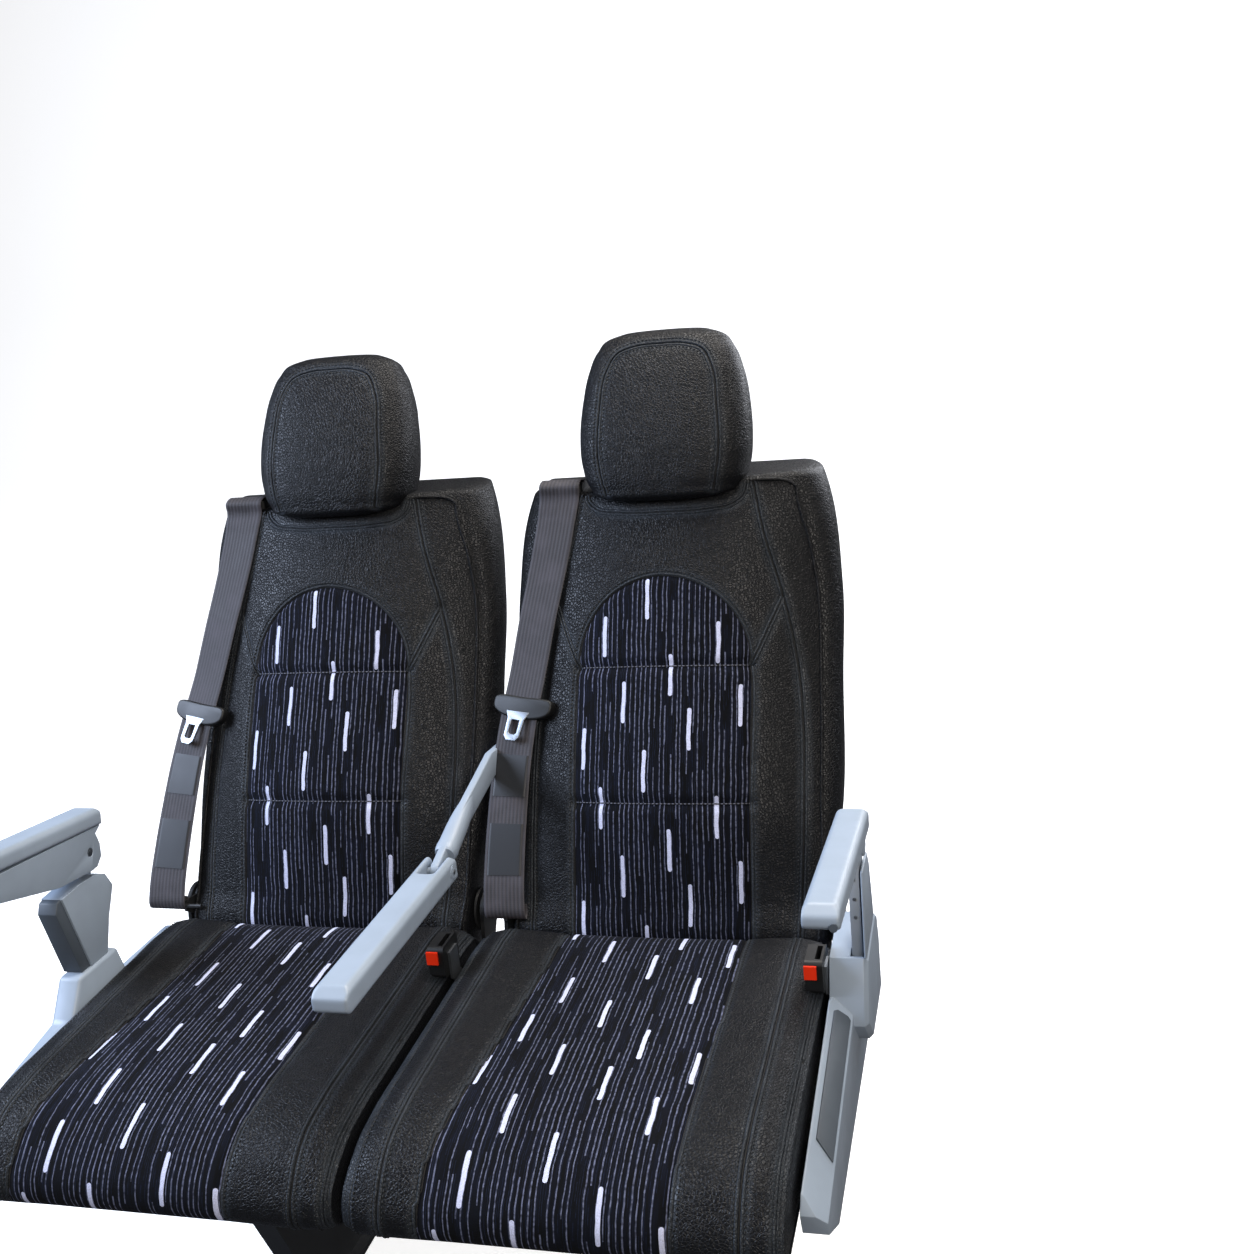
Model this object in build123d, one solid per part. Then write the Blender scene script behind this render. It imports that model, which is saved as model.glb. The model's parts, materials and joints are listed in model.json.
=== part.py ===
from build123d import *
import os

# Twin coach seat. Millimetres, +Z up, the sitter faces -Y, the aisle is on +X.
# The origin is on the floor, at the centre of the four floor bolts.
os.makedirs("parts", exist_ok=True)

# Where the two seats stand
SEAT_X = 231.0            # each seat's centre from the middle of the pair
PIVOT_Y = 130.0           # recline pin of both backs
PIVOT_Z = 470.0
LEAN = 20.0               # the backs' lean as parked

# Fits
SKIN_GAP = 0.4            # between a soft part and what it lies on
PIN_FIT = 0.5             # pin in its hole
SLOT_FIT = 2.0            # arm lug beside its post

# Floor legs and cross tubes
LEG_X = 250.0
BOLT_Y = 180.0
BOLT_R = 5.5
FOOT_LONG = 440.0
FOOT_WIDE = 60.0
FOOT_THICK = 8.0
LEG_THICK = 30.0
TUBE = 40.0
TUBE_TOP = 379.0
FRONT_TUBE_Y = -200.0
REAR_TUBE_Y = 80.0
SHROUD_IN = 451.0         # inner face of both side shrouds

# Cushion
CUSHION_OUT = 214.0       # from the seat's centre to its outer side
CUSHION_IN = 226.0        # and to the side next to the other seat
CUSHION_TOP = 472.0
CUSHION_REAR = 54.0
CUSHION_FRONT = -392.0
PAN_THICK = 6.0

# Back pad sections, from the bottom up, measured from the recline pin:
# height, front at the middle, front at the piping, half width there, widest half width, rear
PAD = (
    (-58, 28, 18, 190, 204, -28),
    (-30, 58, 42, 194, 204, -52),
    (25, 67, 32, 198, 204, -62),
    (142, 78, 15, 199, 221, -74),
    (303, 57, -12, 198, 221, -86),
    (420, 42, -22, 193, 220, -92),
    (497, 32, -14, 176, 212, -97),
    (545, 22, -8, 165, 190, -101),
    (600, 10, -14, 150, 160, -104),
)
HEIGHT, MIDDLE, EDGE, FACE_W, WIDE_W, REAR = range(6)
PAD_TOP = 977.0           # the level top of the back, above the floor
SHELL_THICK = 3.0

# Headrest, measured from the recline pin along the back
HEAD_W = 112.0
HEAD_TOP = 757.0
HEAD_FRONT = 52.0
HEAD_REAR = -58.0

# Literature pocket on the rear of each back
POCKET_W = 150.0
POCKET_LOW = 150.0
POCKET_HIGH = 350.0
POCKET_WALL = 3.0
POCKET_DEEP_LOW = 30.0
POCKET_DEEP_HIGH = 48.0

# Recline pins and plates
HUB_IN = 204.3
HUB_THICK = 3.0
HUB_R = 28.0
PIN_R = 10.0
PLATE_IN = 212.3
PLATE_THICK = 5.0
ANCHOR_BAR = 48.0         # belt bar, forward of the recline pin

# Belt: height along the back, sideways and forward of the recline pin
WEB_W = 47.0
WEB_THICK = 2.0
WEB_PATH = ((551, -142, -25), (561, -142, -15), (563, -142, 1), (552, -142, 15), (541, -142, 8),
            (500, -146, 8), (440, -154, 8), (380, -163, 9), (310, -174, 11), (245, -184, 21),
            (190, -192, 29), (130, -199, 38), (70, -204, 47), (20, -206, 55))
WEB_FREE = 310.0          # below this height the webbing runs straight, off the face
WINDOW_SPREAD = 26.0      # the window seat's belt runs this much further out at the bottom
TONGUE_ROW = 9            # the tongue hangs at this row of the belt's path
GRIP = (72.0, 36.0, 10.0)
TONGUE = (26.0, 40.0, 2.4)
TONGUE_SIDE = -14.0
TONGUE_TILT = 7.0         # the loose tongue leans out from the webbing

# Side shrouds, outward from their inner face, and heights of their ledges
PANEL_WIDE = 26.0
WINDOW_PANEL_WIDE = 32.0
WING_WIDE = 43.0
SLOPE_DOWN = 24.0         # the aisle shroud's sloping top edge
SLOPE_IN = 20.0
SLOT_FLOOR = 480.0        # the aisle post stands on this
WINDOW_LEDGE = 500.0      # the window post stands on this

# Arm pads
ARM_WIDE = 36.0
ARM_IN = SHROUD_IN + 13.0
ARM_OUT = ARM_IN + ARM_WIDE
ARM_MIDDLE = (ARM_IN + ARM_OUT) / 2
ARM_PIN = (-8.0, 636.0)
ARM_TILT = 6.0
ARM_LONG = 296.0
ARM_THICK = 24.0
ARM_PIN_R = 5.0
LUG = 5.0
POST_WIDE = 12.0
POST_IN = ARM_MIDDLE - POST_WIDE / 2
POST_OUT = ARM_MIDDLE + POST_WIDE / 2
POST_REACH = SLOT_FIT + 4.0
CENTRE_PIN = (-45.0, 611.0)
CENTRE_HALF = 20.0
BRACKET_HALF = 5.0
WINDOW_PIN = (-62.0, WINDOW_LEDGE + 136.0)
WINDOW_TILT = 8.0
WINDOW_POST_WIDE = 30.0
WINDOW_TONGUE = 6.0       # the window post's upper plate, inside the block
BLOCK_IN = 2.0            # the block is this much narrower on each side than its pad

# Buckle housing
BUCKLE = (20.0, 46.0, 40.0)
BUCKLE_LOW = CUSHION_TOP + 6.0
BUCKLE_Y = -38.0
BUCKLE_SLOT = (6.0, 30.0, 22.0)
BUTTON = (14.0, 24.0, 3.0)
BUCKLE_STALK = 3.0


def save(shape, name):
    """Write one piece as its own file."""
    export_step(shape, f"parts/{name}.step")


def side_slab(points, low_x, high_x):
    """A plate with its outline drawn in the side view (Y, Z)."""
    outline = Plane.YZ.offset(low_x) * Polygon(*points, align=None)
    return extrude(outline, amount=high_x - low_x, dir=(1, 0, 0))


def cross_bar(centre, radius, low_x, high_x):
    """A round bar along X at (Y, Z)."""
    disc = Plane.YZ.offset(low_x) * Pos(*centre) * Circle(radius)
    return extrude(disc, amount=high_x - low_x)


def on_back(shape, seat_x):
    """Lean a shape drawn upright round the recline pin and set it on its seat."""
    return Pos(seat_x, PIVOT_Y, PIVOT_Z) * Rot(-LEAN, 0, 0) * shape


def row_at(height, column):
    """One column of the pad table at any height, straight between its rows."""
    for low, high in zip(PAD, PAD[1:]):
        if height <= high[HEIGHT]:
            part = (height - low[HEIGHT]) / (high[HEIGHT] - low[HEIGHT])
            return low[column] + part * (high[column] - low[column])
    return PAD[-1][column]


def pad_section(row):
    """One closed section of the back pad: a crowned front and a chamfered rear."""
    height, middle, edge, face_w, wide_w, rear = row
    mid = edge - 0.45 * (edge - rear)
    side = ((face_w, -edge), (wide_w, -mid), (wide_w, -rear - 14), (wide_w - 14, -rear))
    points = side + tuple((-x, y) for x, y in reversed(side))
    front = ThreePointArc((-face_w, -edge), (0, -middle), (face_w, -edge))
    rest = Polyline(*points)
    return Plane.XY.offset(height) * make_face(front + rest)


def flat_section(height, half_w, front, rear):
    """A rectangle across the back at one height."""
    centre = (front + rear) / 2
    return Plane.XY.offset(height) * Pos(0, -centre) * Rectangle(2 * half_w, front - rear)


def build_back(name, seat_x, spread):
    """All the pieces that recline together on one seat."""
    pad = on_back(loft([pad_section(row) for row in PAD], ruled=True), seat_x)
    pad -= Pos(seat_x, PIVOT_Y + 200, PAD_TOP + 100) * Box(600, 800, 200)
    save(pad, f"{name}_back_pad")

    rows = [row for row in PAD if 0 < row[HEIGHT] < 550]
    shell = loft([flat_section(row[HEIGHT], row[WIDE_W] - 16, row[REAR] - SKIN_GAP,
                               row[REAR] - SKIN_GAP - SHELL_THICK) for row in rows], ruled=True)
    save(on_back(shell, seat_x), f"{name}_back_shell")

    low, high = [row_at(z, REAR) - SKIN_GAP - SHELL_THICK for z in (POCKET_LOW, POCKET_HIGH)]
    step = row_at(303, REAR) - SKIN_GAP - SHELL_THICK
    outer = ((-low, POCKET_LOW), (-low + POCKET_DEEP_LOW, POCKET_LOW),
             (-high + POCKET_DEEP_HIGH, POCKET_HIGH), (-high, POCKET_HIGH), (-step, 303))
    inner = ((-low - 9, POCKET_LOW + POCKET_WALL), (-low + POCKET_DEEP_LOW - POCKET_WALL,
             POCKET_LOW + POCKET_WALL), (-high + POCKET_DEEP_HIGH - POCKET_WALL, POCKET_HIGH + 1),
             (-high - 9, POCKET_HIGH + 1))
    pocket = side_slab(outer, -POCKET_W, POCKET_W)
    pocket -= side_slab(inner, -POCKET_W + POCKET_WALL, POCKET_W - POCKET_WALL)
    save(on_back(pocket, seat_x), f"{name}_literature_pocket")

    head = Pos(0, -(HEAD_FRONT + HEAD_REAR) / 2, (480 + HEAD_TOP) / 2) * Box(
        2 * HEAD_W, HEAD_FRONT - HEAD_REAR, HEAD_TOP - 480)
    head = fillet(head.edges().filter_by(Axis.Y).group_by(Axis.Z)[-1], 45)
    head = fillet(head.edges().filter_by(Axis.Z), 22)
    head = on_back(head, seat_x)
    head -= Pos(seat_x, PIVOT_Y + 200, PAD_TOP + SKIN_GAP - 150) * Box(600, 800, 300)
    save(head, f"{name}_headrest")

    for side, word in ((-1, "left"), (1, "right")):
        hub = cross_bar((0, 0), HUB_R, HUB_IN, HUB_IN + HUB_THICK)
        hub += cross_bar((0, 0), PIN_R, HUB_IN, PLATE_IN + PLATE_THICK + 1)
        if side < 0:
            hub += side_slab(((-ANCHOR_BAR - 1, -7), (0, -20), (0, 20), (-ANCHOR_BAR - 1, 7)),
                             HUB_IN, HUB_IN + HUB_THICK)
            hub += cross_bar((-ANCHOR_BAR, 0), 3, -WEB_PATH[-1][1] - WEB_W / 2,
                             -WEB_PATH[-1][1] + WEB_W / 2 + spread)
            hub = mirror(hub, about=Plane.YZ)
        save(on_back(hub, seat_x), f"{name}_recline_hub_{word}")


def web_point(height, across, forward, spread):
    """Centre of the webbing and its slope across the face."""
    across -= spread * max(0.0, (541 - height) / 541) ** 1.3
    middle, edge, face_w = (row_at(height, col) for col in (MIDDLE, EDGE, FACE_W))
    slope = 2 * (middle - edge) * min(1.0, abs(across) / face_w) / face_w
    slope *= min(1.0, height / WEB_FREE) * min(1.0, max(0.0, 551 - height) / 40)
    return Vector(across, -forward, height), slope


def strip_face(centre, slope, direction, width, thick):
    """A thin rectangle square to the belt's run."""
    across = Vector(1, -slope, 0).normalized()
    plane = Plane(origin=centre, x_dir=across, z_dir=direction)
    return plane * Rectangle(width, thick)


def build_belt(name, seat_x, spread):
    """Webbing from the shoulder guide to the bar at the recline pin, and its tongue."""
    spots = [web_point(*row, spread) for row in WEB_PATH]
    end = Vector(spots[-1][0].X, -ANCHOR_BAR - 3 - SKIN_GAP - WEB_THICK / 2, -6)
    spots.append((end, 0.0))
    faces = []
    for index, (centre, slope) in enumerate(spots):
        before = spots[max(0, index - 1)][0]
        after = spots[min(len(spots) - 1, index + 1)][0]
        faces.append(strip_face(centre, slope, (after - before), WEB_W, WEB_THICK))
    web = loft(faces[:3], ruled=True) + loft(faces[2:], ruled=True)
    save(on_back(web, seat_x), f"{name}_belt_webbing")

    centre, slope = spots[TONGUE_ROW]
    above, below = spots[TONGUE_ROW - 1][0], spots[TONGUE_ROW + 1][0]
    frame = Plane(origin=centre, x_dir=Vector(1, -slope, 0), z_dir=(above - below))
    grip = Box(GRIP[0], GRIP[2], GRIP[1])
    grip = fillet(grip.edges().filter_by(Axis.Y), 9)
    grip -= Box(WEB_W + 2, WEB_THICK + 2.4, GRIP[1] + 2)
    save(on_back(frame * grip, seat_x), f"{name}_tongue_grip")
    plate = Pos(TONGUE_SIDE, -GRIP[2] / 2 + TONGUE[2] / 2 + 0.4, -(GRIP[1] + TONGUE[1]) / 2) * Box(
        TONGUE[0], TONGUE[2], TONGUE[1])
    plate -= Pos(TONGUE_SIDE, -GRIP[2] / 2, -(GRIP[1] + TONGUE[1]) / 2 - 3) * Box(12, 10, 15)
    plate = Pos(0, 0, -GRIP[1] / 2) * Rot(-TONGUE_TILT, 0, 0) * Pos(0, 0, GRIP[1] / 2) * plate
    save(on_back(frame * Pos(0, 0, -0.8) * plate, seat_x), f"{name}_tongue_plate")

    guide_x = seat_x + WEB_PATH[0][1]
    guide = Pos(guide_x, 340, PAD_TOP + 8.5 + SKIN_GAP) * Box(56, 54, 17)
    guide = fillet(guide.edges().filter_by(Axis.Z), 6)
    guide -= Pos(guide_x, 341, PAD_TOP) * Box(WEB_W + 3, 24, 60)
    save(guide, f"{name}_belt_guide")


def build_cushion(name, seat_x, inward):
    """Cushion on its pan; inward is the direction of the other seat."""
    low_x = seat_x - (CUSHION_IN if inward < 0 else CUSHION_OUT)
    high_x = seat_x + (CUSHION_IN if inward > 0 else CUSHION_OUT)
    bottom = TUBE_TOP + PAN_THICK + SKIN_GAP
    outline = ((CUSHION_REAR, bottom), (CUSHION_REAR, CUSHION_TOP - 4), (20, CUSHION_TOP),
               (-300, CUSHION_TOP), (-362, CUSHION_TOP - 14), (CUSHION_FRONT, CUSHION_TOP - 48),
               (CUSHION_FRONT - 4, bottom + 30), (-372, bottom))
    cushion = side_slab(outline, low_x, high_x)
    edges = cushion.faces().sort_by(Axis.X)[0].edges() + cushion.faces().sort_by(Axis.X)[-1].edges()
    save(chamfer(edges, 9), f"{name}_cushion")
    pan = Pos((low_x + high_x) / 2, (CUSHION_REAR - 350) / 2 - 4, TUBE_TOP + PAN_THICK / 2) * Box(
        high_x - low_x - 24, 350 + CUSHION_REAR - 8, PAN_THICK)
    save(pan, f"{name}_cushion_pan")


def build_buckle(name, outer_x):
    """Buckle beside the cushion on a flat stalk that stands on the rear tube."""
    stalk_in = outer_x - BUCKLE_STALK
    body = Pos(stalk_in - BUCKLE[0] / 2, BUCKLE_Y, BUCKLE_LOW + BUCKLE[2] / 2) * Box(*BUCKLE)
    body = fillet(body.edges().filter_by(Axis.X), 6)
    top = BUCKLE_LOW + BUCKLE[2]
    body -= Pos(stalk_in - 6, BUCKLE_Y, top - BUCKLE_SLOT[2] / 2 + 1) * Box(*BUCKLE_SLOT)
    save(body, f"{name}_buckle")
    button = Pos(stalk_in - 9.5 - BUTTON[0] / 2 + 3, BUCKLE_Y - BUCKLE[1] / 2 - BUTTON[2] / 2,
                 top - 12) * Box(BUTTON[0], BUTTON[2], 16)
    save(button, f"{name}_buckle_button")
    stalk = side_slab(((BUCKLE_Y - 10, top - 12), (BUCKLE_Y - 10, BUCKLE_LOW - 6), (60, TUBE_TOP),
                       (76, TUBE_TOP), (BUCKLE_Y + 14, BUCKLE_LOW - 4), (BUCKLE_Y + 14, top - 12)),
                      stalk_in, outer_x)
    save(stalk, f"{name}_buckle_stalk")


def arm_blank(pin, inner, outer, rear, long, thick, tilt, rise):
    """An arm pad with a tapered nose, drawn level behind its pin and then tilted."""
    points = ((rear, rise), (rear, rise + thick - 6), (rear - 5, rise + thick),
              (rear - long + 12, rise + thick), (rear - long, rise + thick - 10),
              (rear - long, rise + 5), (rear - long + 6, rise))
    pad = side_slab(points, inner, outer)
    long_edges = pad.edges().filter_by(lambda e: e.length > 200).group_by(Axis.Z)[-1]
    pad = chamfer(long_edges, 5)
    return Pos(0, *pin) * Rot(-tilt, 0, 0) * pad


# Floor legs, cross tubes
for side, word in ((-1, "window"), (1, "aisle")):
    x = side * LEG_X
    foot = Pos(x, 0, FOOT_THICK / 2) * Box(FOOT_WIDE, FOOT_LONG, FOOT_THICK)
    for y in (-BOLT_Y, BOLT_Y):
        foot -= Pos(x, y, 0) * Cylinder(BOLT_R, 40)
    tube_low = TUBE_TOP - TUBE
    leg = foot + side_slab(((-80, FOOT_THICK), (80, FOOT_THICK), (100, tube_low), (-220, tube_low)),
                           x - LEG_THICK / 2, x + LEG_THICK / 2)
    save(leg, f"{word}_floor_leg")
for word, y in (("front", FRONT_TUBE_Y), ("rear", REAR_TUBE_Y)):
    tube = Pos(0, y, TUBE_TOP - TUBE / 2) * Box(2 * SHROUD_IN, TUBE, TUBE)
    tube = fillet(tube.edges().filter_by(Axis.X), 5)
    tube -= Pos(0, y, TUBE_TOP - TUBE / 2) * Box(2 * SHROUD_IN + 2, TUBE - 6, TUBE - 6)
    save(tube, f"{word}_cross_tube")

# Seats
for name, x, inward, spread in (("window", -SEAT_X, 1, WINDOW_SPREAD), ("aisle", SEAT_X, -1, 0.0)):
    build_cushion(name, x, inward)
    build_back(name, x, spread)
    build_belt(name, x, spread)
    for side, word in ((-1, "left"), (1, "right")):
        low_x = x + side * PLATE_IN
        plate = side_slab(((PIVOT_Y - 44, TUBE_TOP), (PIVOT_Y - 30, TUBE_TOP),
                           (PIVOT_Y + HUB_R, PIVOT_Z - 4), (PIVOT_Y - HUB_R, PIVOT_Z - 4)),
                          min(low_x, low_x + side * PLATE_THICK), max(low_x, low_x + side * PLATE_THICK))
        plate += cross_bar((PIVOT_Y, PIVOT_Z), HUB_R, min(low_x, low_x + side * PLATE_THICK),
                           max(low_x, low_x + side * PLATE_THICK))
        plate -= cross_bar((PIVOT_Y, PIVOT_Z), PIN_R + PIN_FIT, low_x - 20, low_x + 20)
        save(plate, f"{name}_recline_plate_{word}")
build_buckle("window", BUCKLE_STALK / 2)
build_buckle("aisle", SHROUD_IN - 1.5)

# Side shrouds
panel_out = SHROUD_IN + PANEL_WIDE
wing_out = SHROUD_IN + WING_WIDE
panel_low = TUBE_TOP - 34
aisle_panel = side_slab(((95, panel_low), (95, 465), (-62, 471), (-325, 424), (-338, 410), (-330, 385),
                         (-265, panel_low)), SHROUD_IN, panel_out)
top_edge = [e for e in aisle_panel.edges().filter_by(lambda e: e.length > 250)
            if e.center().X > panel_out - 1 and e.center().Z > 430][0]
aisle_panel = chamfer(top_edge, SLOPE_DOWN, SLOPE_IN)
wing = side_slab(((95, 400), (95, 470), (84, 505), (60, 517), (-34, 510), (-52, 472), (-60, 440),
                  (-20, 400)), SHROUD_IN, wing_out)
wing = chamfer(wing.edges().filter_by(lambda e: e.center().X > wing_out - 1), 5)
slot = side_slab(((-30, SLOT_FLOOR), (28, SLOT_FLOOR), (28, 540), (-30, 540)),
                 POST_IN - SLOT_FIT, POST_OUT + SLOT_FIT)
save(aisle_panel + wing - slot, "aisle_shroud")

sloping = [f for f in aisle_panel.faces() if 0.3 < f.normal_at().X < 0.95 and f.normal_at().Z > 0.3][0]
face = Plane(origin=sloping.center(), x_dir=Vector(0, 263, 47).normalized(),
             z_dir=sloping.normal_at())
strip = face.offset(0.2) * Pos(8, 0) * Polygon((-104, -11), (-88, 11), (96, 11), (100, 7), (100, -7),
                                               (96, -11), align=None)
save(extrude(strip, amount=2.2, dir=sloping.normal_at()), "aisle_shroud_insert")

window_panel = side_slab(((95, panel_low), (95, 452), (-38, 452), (-52, WINDOW_LEDGE), (-130, WINDOW_LEDGE),
                          (-160, 455), (-325, 424), (-338, 410), (-330, 385), (-265, panel_low)),
                         -SHROUD_IN - WINDOW_PANEL_WIDE, -SHROUD_IN)
save(window_panel, "window_shroud")

# Aisle arm: post, cover and pad
y, z = ARM_PIN
foot_z = SLOT_FLOOR + SKIN_GAP
post = side_slab(((-26, foot_z), (22, foot_z), (22, z - 26), (y + 11, z - 8), (y - 11, z - 8),
                  (-26, z - 26)), POST_IN, POST_OUT)
post += cross_bar(ARM_PIN, 12, POST_IN, POST_OUT)
post += cross_bar(ARM_PIN, ARM_PIN_R, POST_IN - POST_REACH, POST_OUT + POST_REACH)
save(post, "aisle_arm_post")
save(side_slab(((-36, 510.5), (58, 517.2), (40, 590), (24, 612), (-28, 612)), POST_OUT + 2, POST_OUT + 5),
     "aisle_post_cover")

aisle_pad = arm_blank(ARM_PIN, ARM_IN, ARM_OUT, 10, ARM_LONG, ARM_THICK, ARM_TILT, 16)
for low in (POST_IN - SLOT_FIT - LUG, POST_OUT + SLOT_FIT):
    lug = cross_bar((0, 0), 13, low, low + LUG)
    lug += side_slab(((-13, 0), (9, 0), (9, 17), (-13, 17)), low, low + LUG)
    aisle_pad += Pos(0, *ARM_PIN) * Rot(-ARM_TILT, 0, 0) * lug
aisle_pad -= cross_bar(ARM_PIN, ARM_PIN_R + PIN_FIT, ARM_IN - 1, ARM_OUT + 1)
save(aisle_pad, "aisle_arm_pad")
button = Pos(0, *ARM_PIN) * Rot(-ARM_TILT, 0, 0) * Pos(ARM_OUT - 6, 10 - ARM_LONG - 1.2, 21) * (
    Rot(90, 0, 0) * Cylinder(4, 2))
save(button, "aisle_arm_button")

# Window arm: post with its trim, block and pad
y, z = WINDOW_PIN
middle = -ARM_MIDDLE + 12
post_low, post_high = middle - WINDOW_POST_WIDE / 2, middle + WINDOW_POST_WIDE / 2
foot_z = WINDOW_LEDGE + SKIN_GAP
post = side_slab(((-40, z - 40), (-30, z - 60), (-50, z - 96), (-66, foot_z), (-100, foot_z),
                  (-126, z - 32), (-90, z - 30), (-62, z - 32)), post_low, post_high)
post += side_slab(((y - 12, z - 36), (y + 12, z - 36), (y + 12, z), (y - 12, z)),
                  middle - WINDOW_TONGUE / 2, middle + WINDOW_TONGUE / 2)
post += cross_bar(WINDOW_PIN, 12, middle - WINDOW_TONGUE / 2, middle + WINDOW_TONGUE / 2)
post += cross_bar(WINDOW_PIN, ARM_PIN_R, post_low + 2, post_high - 2)
save(post, "window_arm_post")
save(side_slab(((-100.4, foot_z), (-118, foot_z), (-140, z - 46), (-134, z - 34), (-126.4, z - 32)),
               post_low + 2, post_high - 2), "window_post_trim")
pad_low, pad_high = middle - ARM_WIDE / 2 - BLOCK_IN, middle + ARM_WIDE / 2 + BLOCK_IN
block_top = z + 24.5
block = side_slab(((-33, block_top), (-45, z + 18), (-41, z + 2.5), (-43, z - 13.5), (-54, z - 23),
                   (-66, z - 23.5), (-128, z - 15.5), (-262, block_top + 2), (-290, block_top + 32)),
                  pad_low + BLOCK_IN, pad_high - BLOCK_IN)
half_slot = WINDOW_TONGUE / 2 + 5
block -= side_slab(((0, z - 76), (0, z + 13), (-95, z + 26), (-95, z - 76)),
                   middle - half_slot, middle + half_slot)
block -= cross_bar(WINDOW_PIN, ARM_PIN_R + PIN_FIT, pad_low - 1, pad_high + 1)
save(block, "window_arm_block")
window_pad = arm_blank((0, 0), pad_low, pad_high, 0, ARM_LONG, ARM_THICK - 2, WINDOW_TILT, 0)
save(Pos(0, -30, block_top - 0.2) * window_pad, "window_arm_pad")

# Centre arm: bracket on the window back, pad between the seats
y, z = CENTRE_PIN
bracket = side_slab(((y, z - 11), (y, z + 12), (50, 653), (160, 678), (258, 670), (258, 636), (160, 646),
                     (60, 627)), -BRACKET_HALF, BRACKET_HALF)
bracket += cross_bar(CENTRE_PIN, 12, -BRACKET_HALF, BRACKET_HALF)
bracket += cross_bar(CENTRE_PIN, ARM_PIN_R, 3 - CENTRE_HALF, CENTRE_HALF - 3)
bracket += cross_bar((242, 653), 13, -SEAT_X + row_at(200, WIDE_W) + SKIN_GAP, -BRACKET_HALF)
save(bracket, "centre_arm_bracket")
centre_pad = arm_blank(CENTRE_PIN, -CENTRE_HALF, CENTRE_HALF, 14, 306, ARM_THICK + 4, 0, -13)
cut = side_slab(((-34, -30), (40, -30), (40, 40), (-16, 40), (-34, 14)), -BRACKET_HALF - 5, BRACKET_HALF + 5)
centre_pad -= Pos(0, *CENTRE_PIN) * cut
centre_pad -= cross_bar(CENTRE_PIN, ARM_PIN_R + PIN_FIT, -50, 50)
save(centre_pad, "centre_arm_pad")
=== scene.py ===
import json
import logging
import math
from dataclasses import dataclass, field
from enum import Enum
from typing import Any, Iterable, Mapping, Sequence

import bmesh
import bpy
import numpy as np
from mathutils import Matrix, Vector


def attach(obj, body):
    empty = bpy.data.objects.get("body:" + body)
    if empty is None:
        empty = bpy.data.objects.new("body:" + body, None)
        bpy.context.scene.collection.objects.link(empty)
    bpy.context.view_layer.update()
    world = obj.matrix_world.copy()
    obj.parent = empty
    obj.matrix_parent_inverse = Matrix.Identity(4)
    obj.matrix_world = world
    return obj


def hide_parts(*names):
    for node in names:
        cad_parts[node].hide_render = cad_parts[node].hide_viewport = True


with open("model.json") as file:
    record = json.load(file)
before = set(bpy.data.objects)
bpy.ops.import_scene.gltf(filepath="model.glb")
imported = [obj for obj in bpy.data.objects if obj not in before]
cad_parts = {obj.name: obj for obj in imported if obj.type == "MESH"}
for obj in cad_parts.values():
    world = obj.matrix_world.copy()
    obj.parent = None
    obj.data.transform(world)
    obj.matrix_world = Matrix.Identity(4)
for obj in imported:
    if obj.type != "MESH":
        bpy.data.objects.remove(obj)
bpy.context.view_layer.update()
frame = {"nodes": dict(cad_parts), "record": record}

LOG = logging.getLogger("twin_seat")

# Shared places, in metres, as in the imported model
SEAT_X = 0.231
PIVOT_Y, PIVOT_Z = 0.130, 0.470
LEAN = math.radians(20.0)
INSERT_HALF = 0.113
FOOT_X = (-0.250, 0.250)
FOOT_BOLT_Y = (-0.180, 0.180)

# Sewing: thread, filling, how far a seam holds the cloth down, and the band of painted highlight beside it
THREAD = 0.0016
FILLING = 4.0
SEAM_HOLDS = 0.003
HIGHLIGHT_FROM, HIGHLIGHT_WIDE = 0.0050, 0.0035
FOLD_RUN = (-0.0022, 0.0022)
SOFT_EDGE = math.radians(50)


class Seat(Enum):
    """Which of the two places of the pair."""

    WINDOW = "window"
    AISLE = "aisle"

    @property
    def centre_x(self) -> float:
        """Middle of the place across the pair."""
        return SEAT_X if self is Seat.AISLE else -SEAT_X

    @property
    def back_body(self) -> str:
        """Body that reclines with this place."""
        return f"back_{self.value}"


class Slot(Enum):
    """Material slots of the record."""

    LEATHER = "leather"
    WEBBING = "webbing"
    BLACK_PLASTIC = "black_plastic"
    STEEL = "steel"
    RED_BUTTON = "red_button"
    FRAME_PAINT = "frame_paint"
    DARK_TRIM = "dark_trim"
    GREY_PLASTIC = "grey_plastic"


def linear(colour: str) -> tuple[float, float, float, float]:
    """Turn an sRGB hex colour into linear RGBA.

    Args:
        colour: A colour such as "#1a1b1e".

    Returns:
        Four linear numbers, the last one 1.
    """
    parts = [int(colour[i:i + 2], 16) / 255 for i in (1, 3, 5)]
    lin = [p / 12.92 if p <= 0.04045 else ((p + 0.055) / 1.055) ** 2.4 for p in parts]
    return lin[0], lin[1], lin[2], 1.0


def dimmed(colour: str, share: float) -> tuple[float, ...]:
    """Give a share of a colour's light, as linear RGBA."""
    return (*(part * share for part in linear(colour)[:3]), 1.0)


def smooth_step(low: float, high: float, value: Any) -> Any:
    """Ease from 0 at low to 1 at high.

    Args:
        low: Where the ramp starts.
        high: Where the ramp ends.
        value: A number or an array.

    Returns:
        The eased share, of the value's own form.
    """
    part = np.clip((value - low) / (high - low), 0.0, 1.0)
    return part * part * (3 - 2 * part)


def run_lengths(points: np.ndarray) -> np.ndarray:
    """Length along a flat polyline at each of its points, from 0."""
    return np.concatenate([[0], np.cumsum(np.hypot(*np.diff(points, axis=0).T))])


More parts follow.
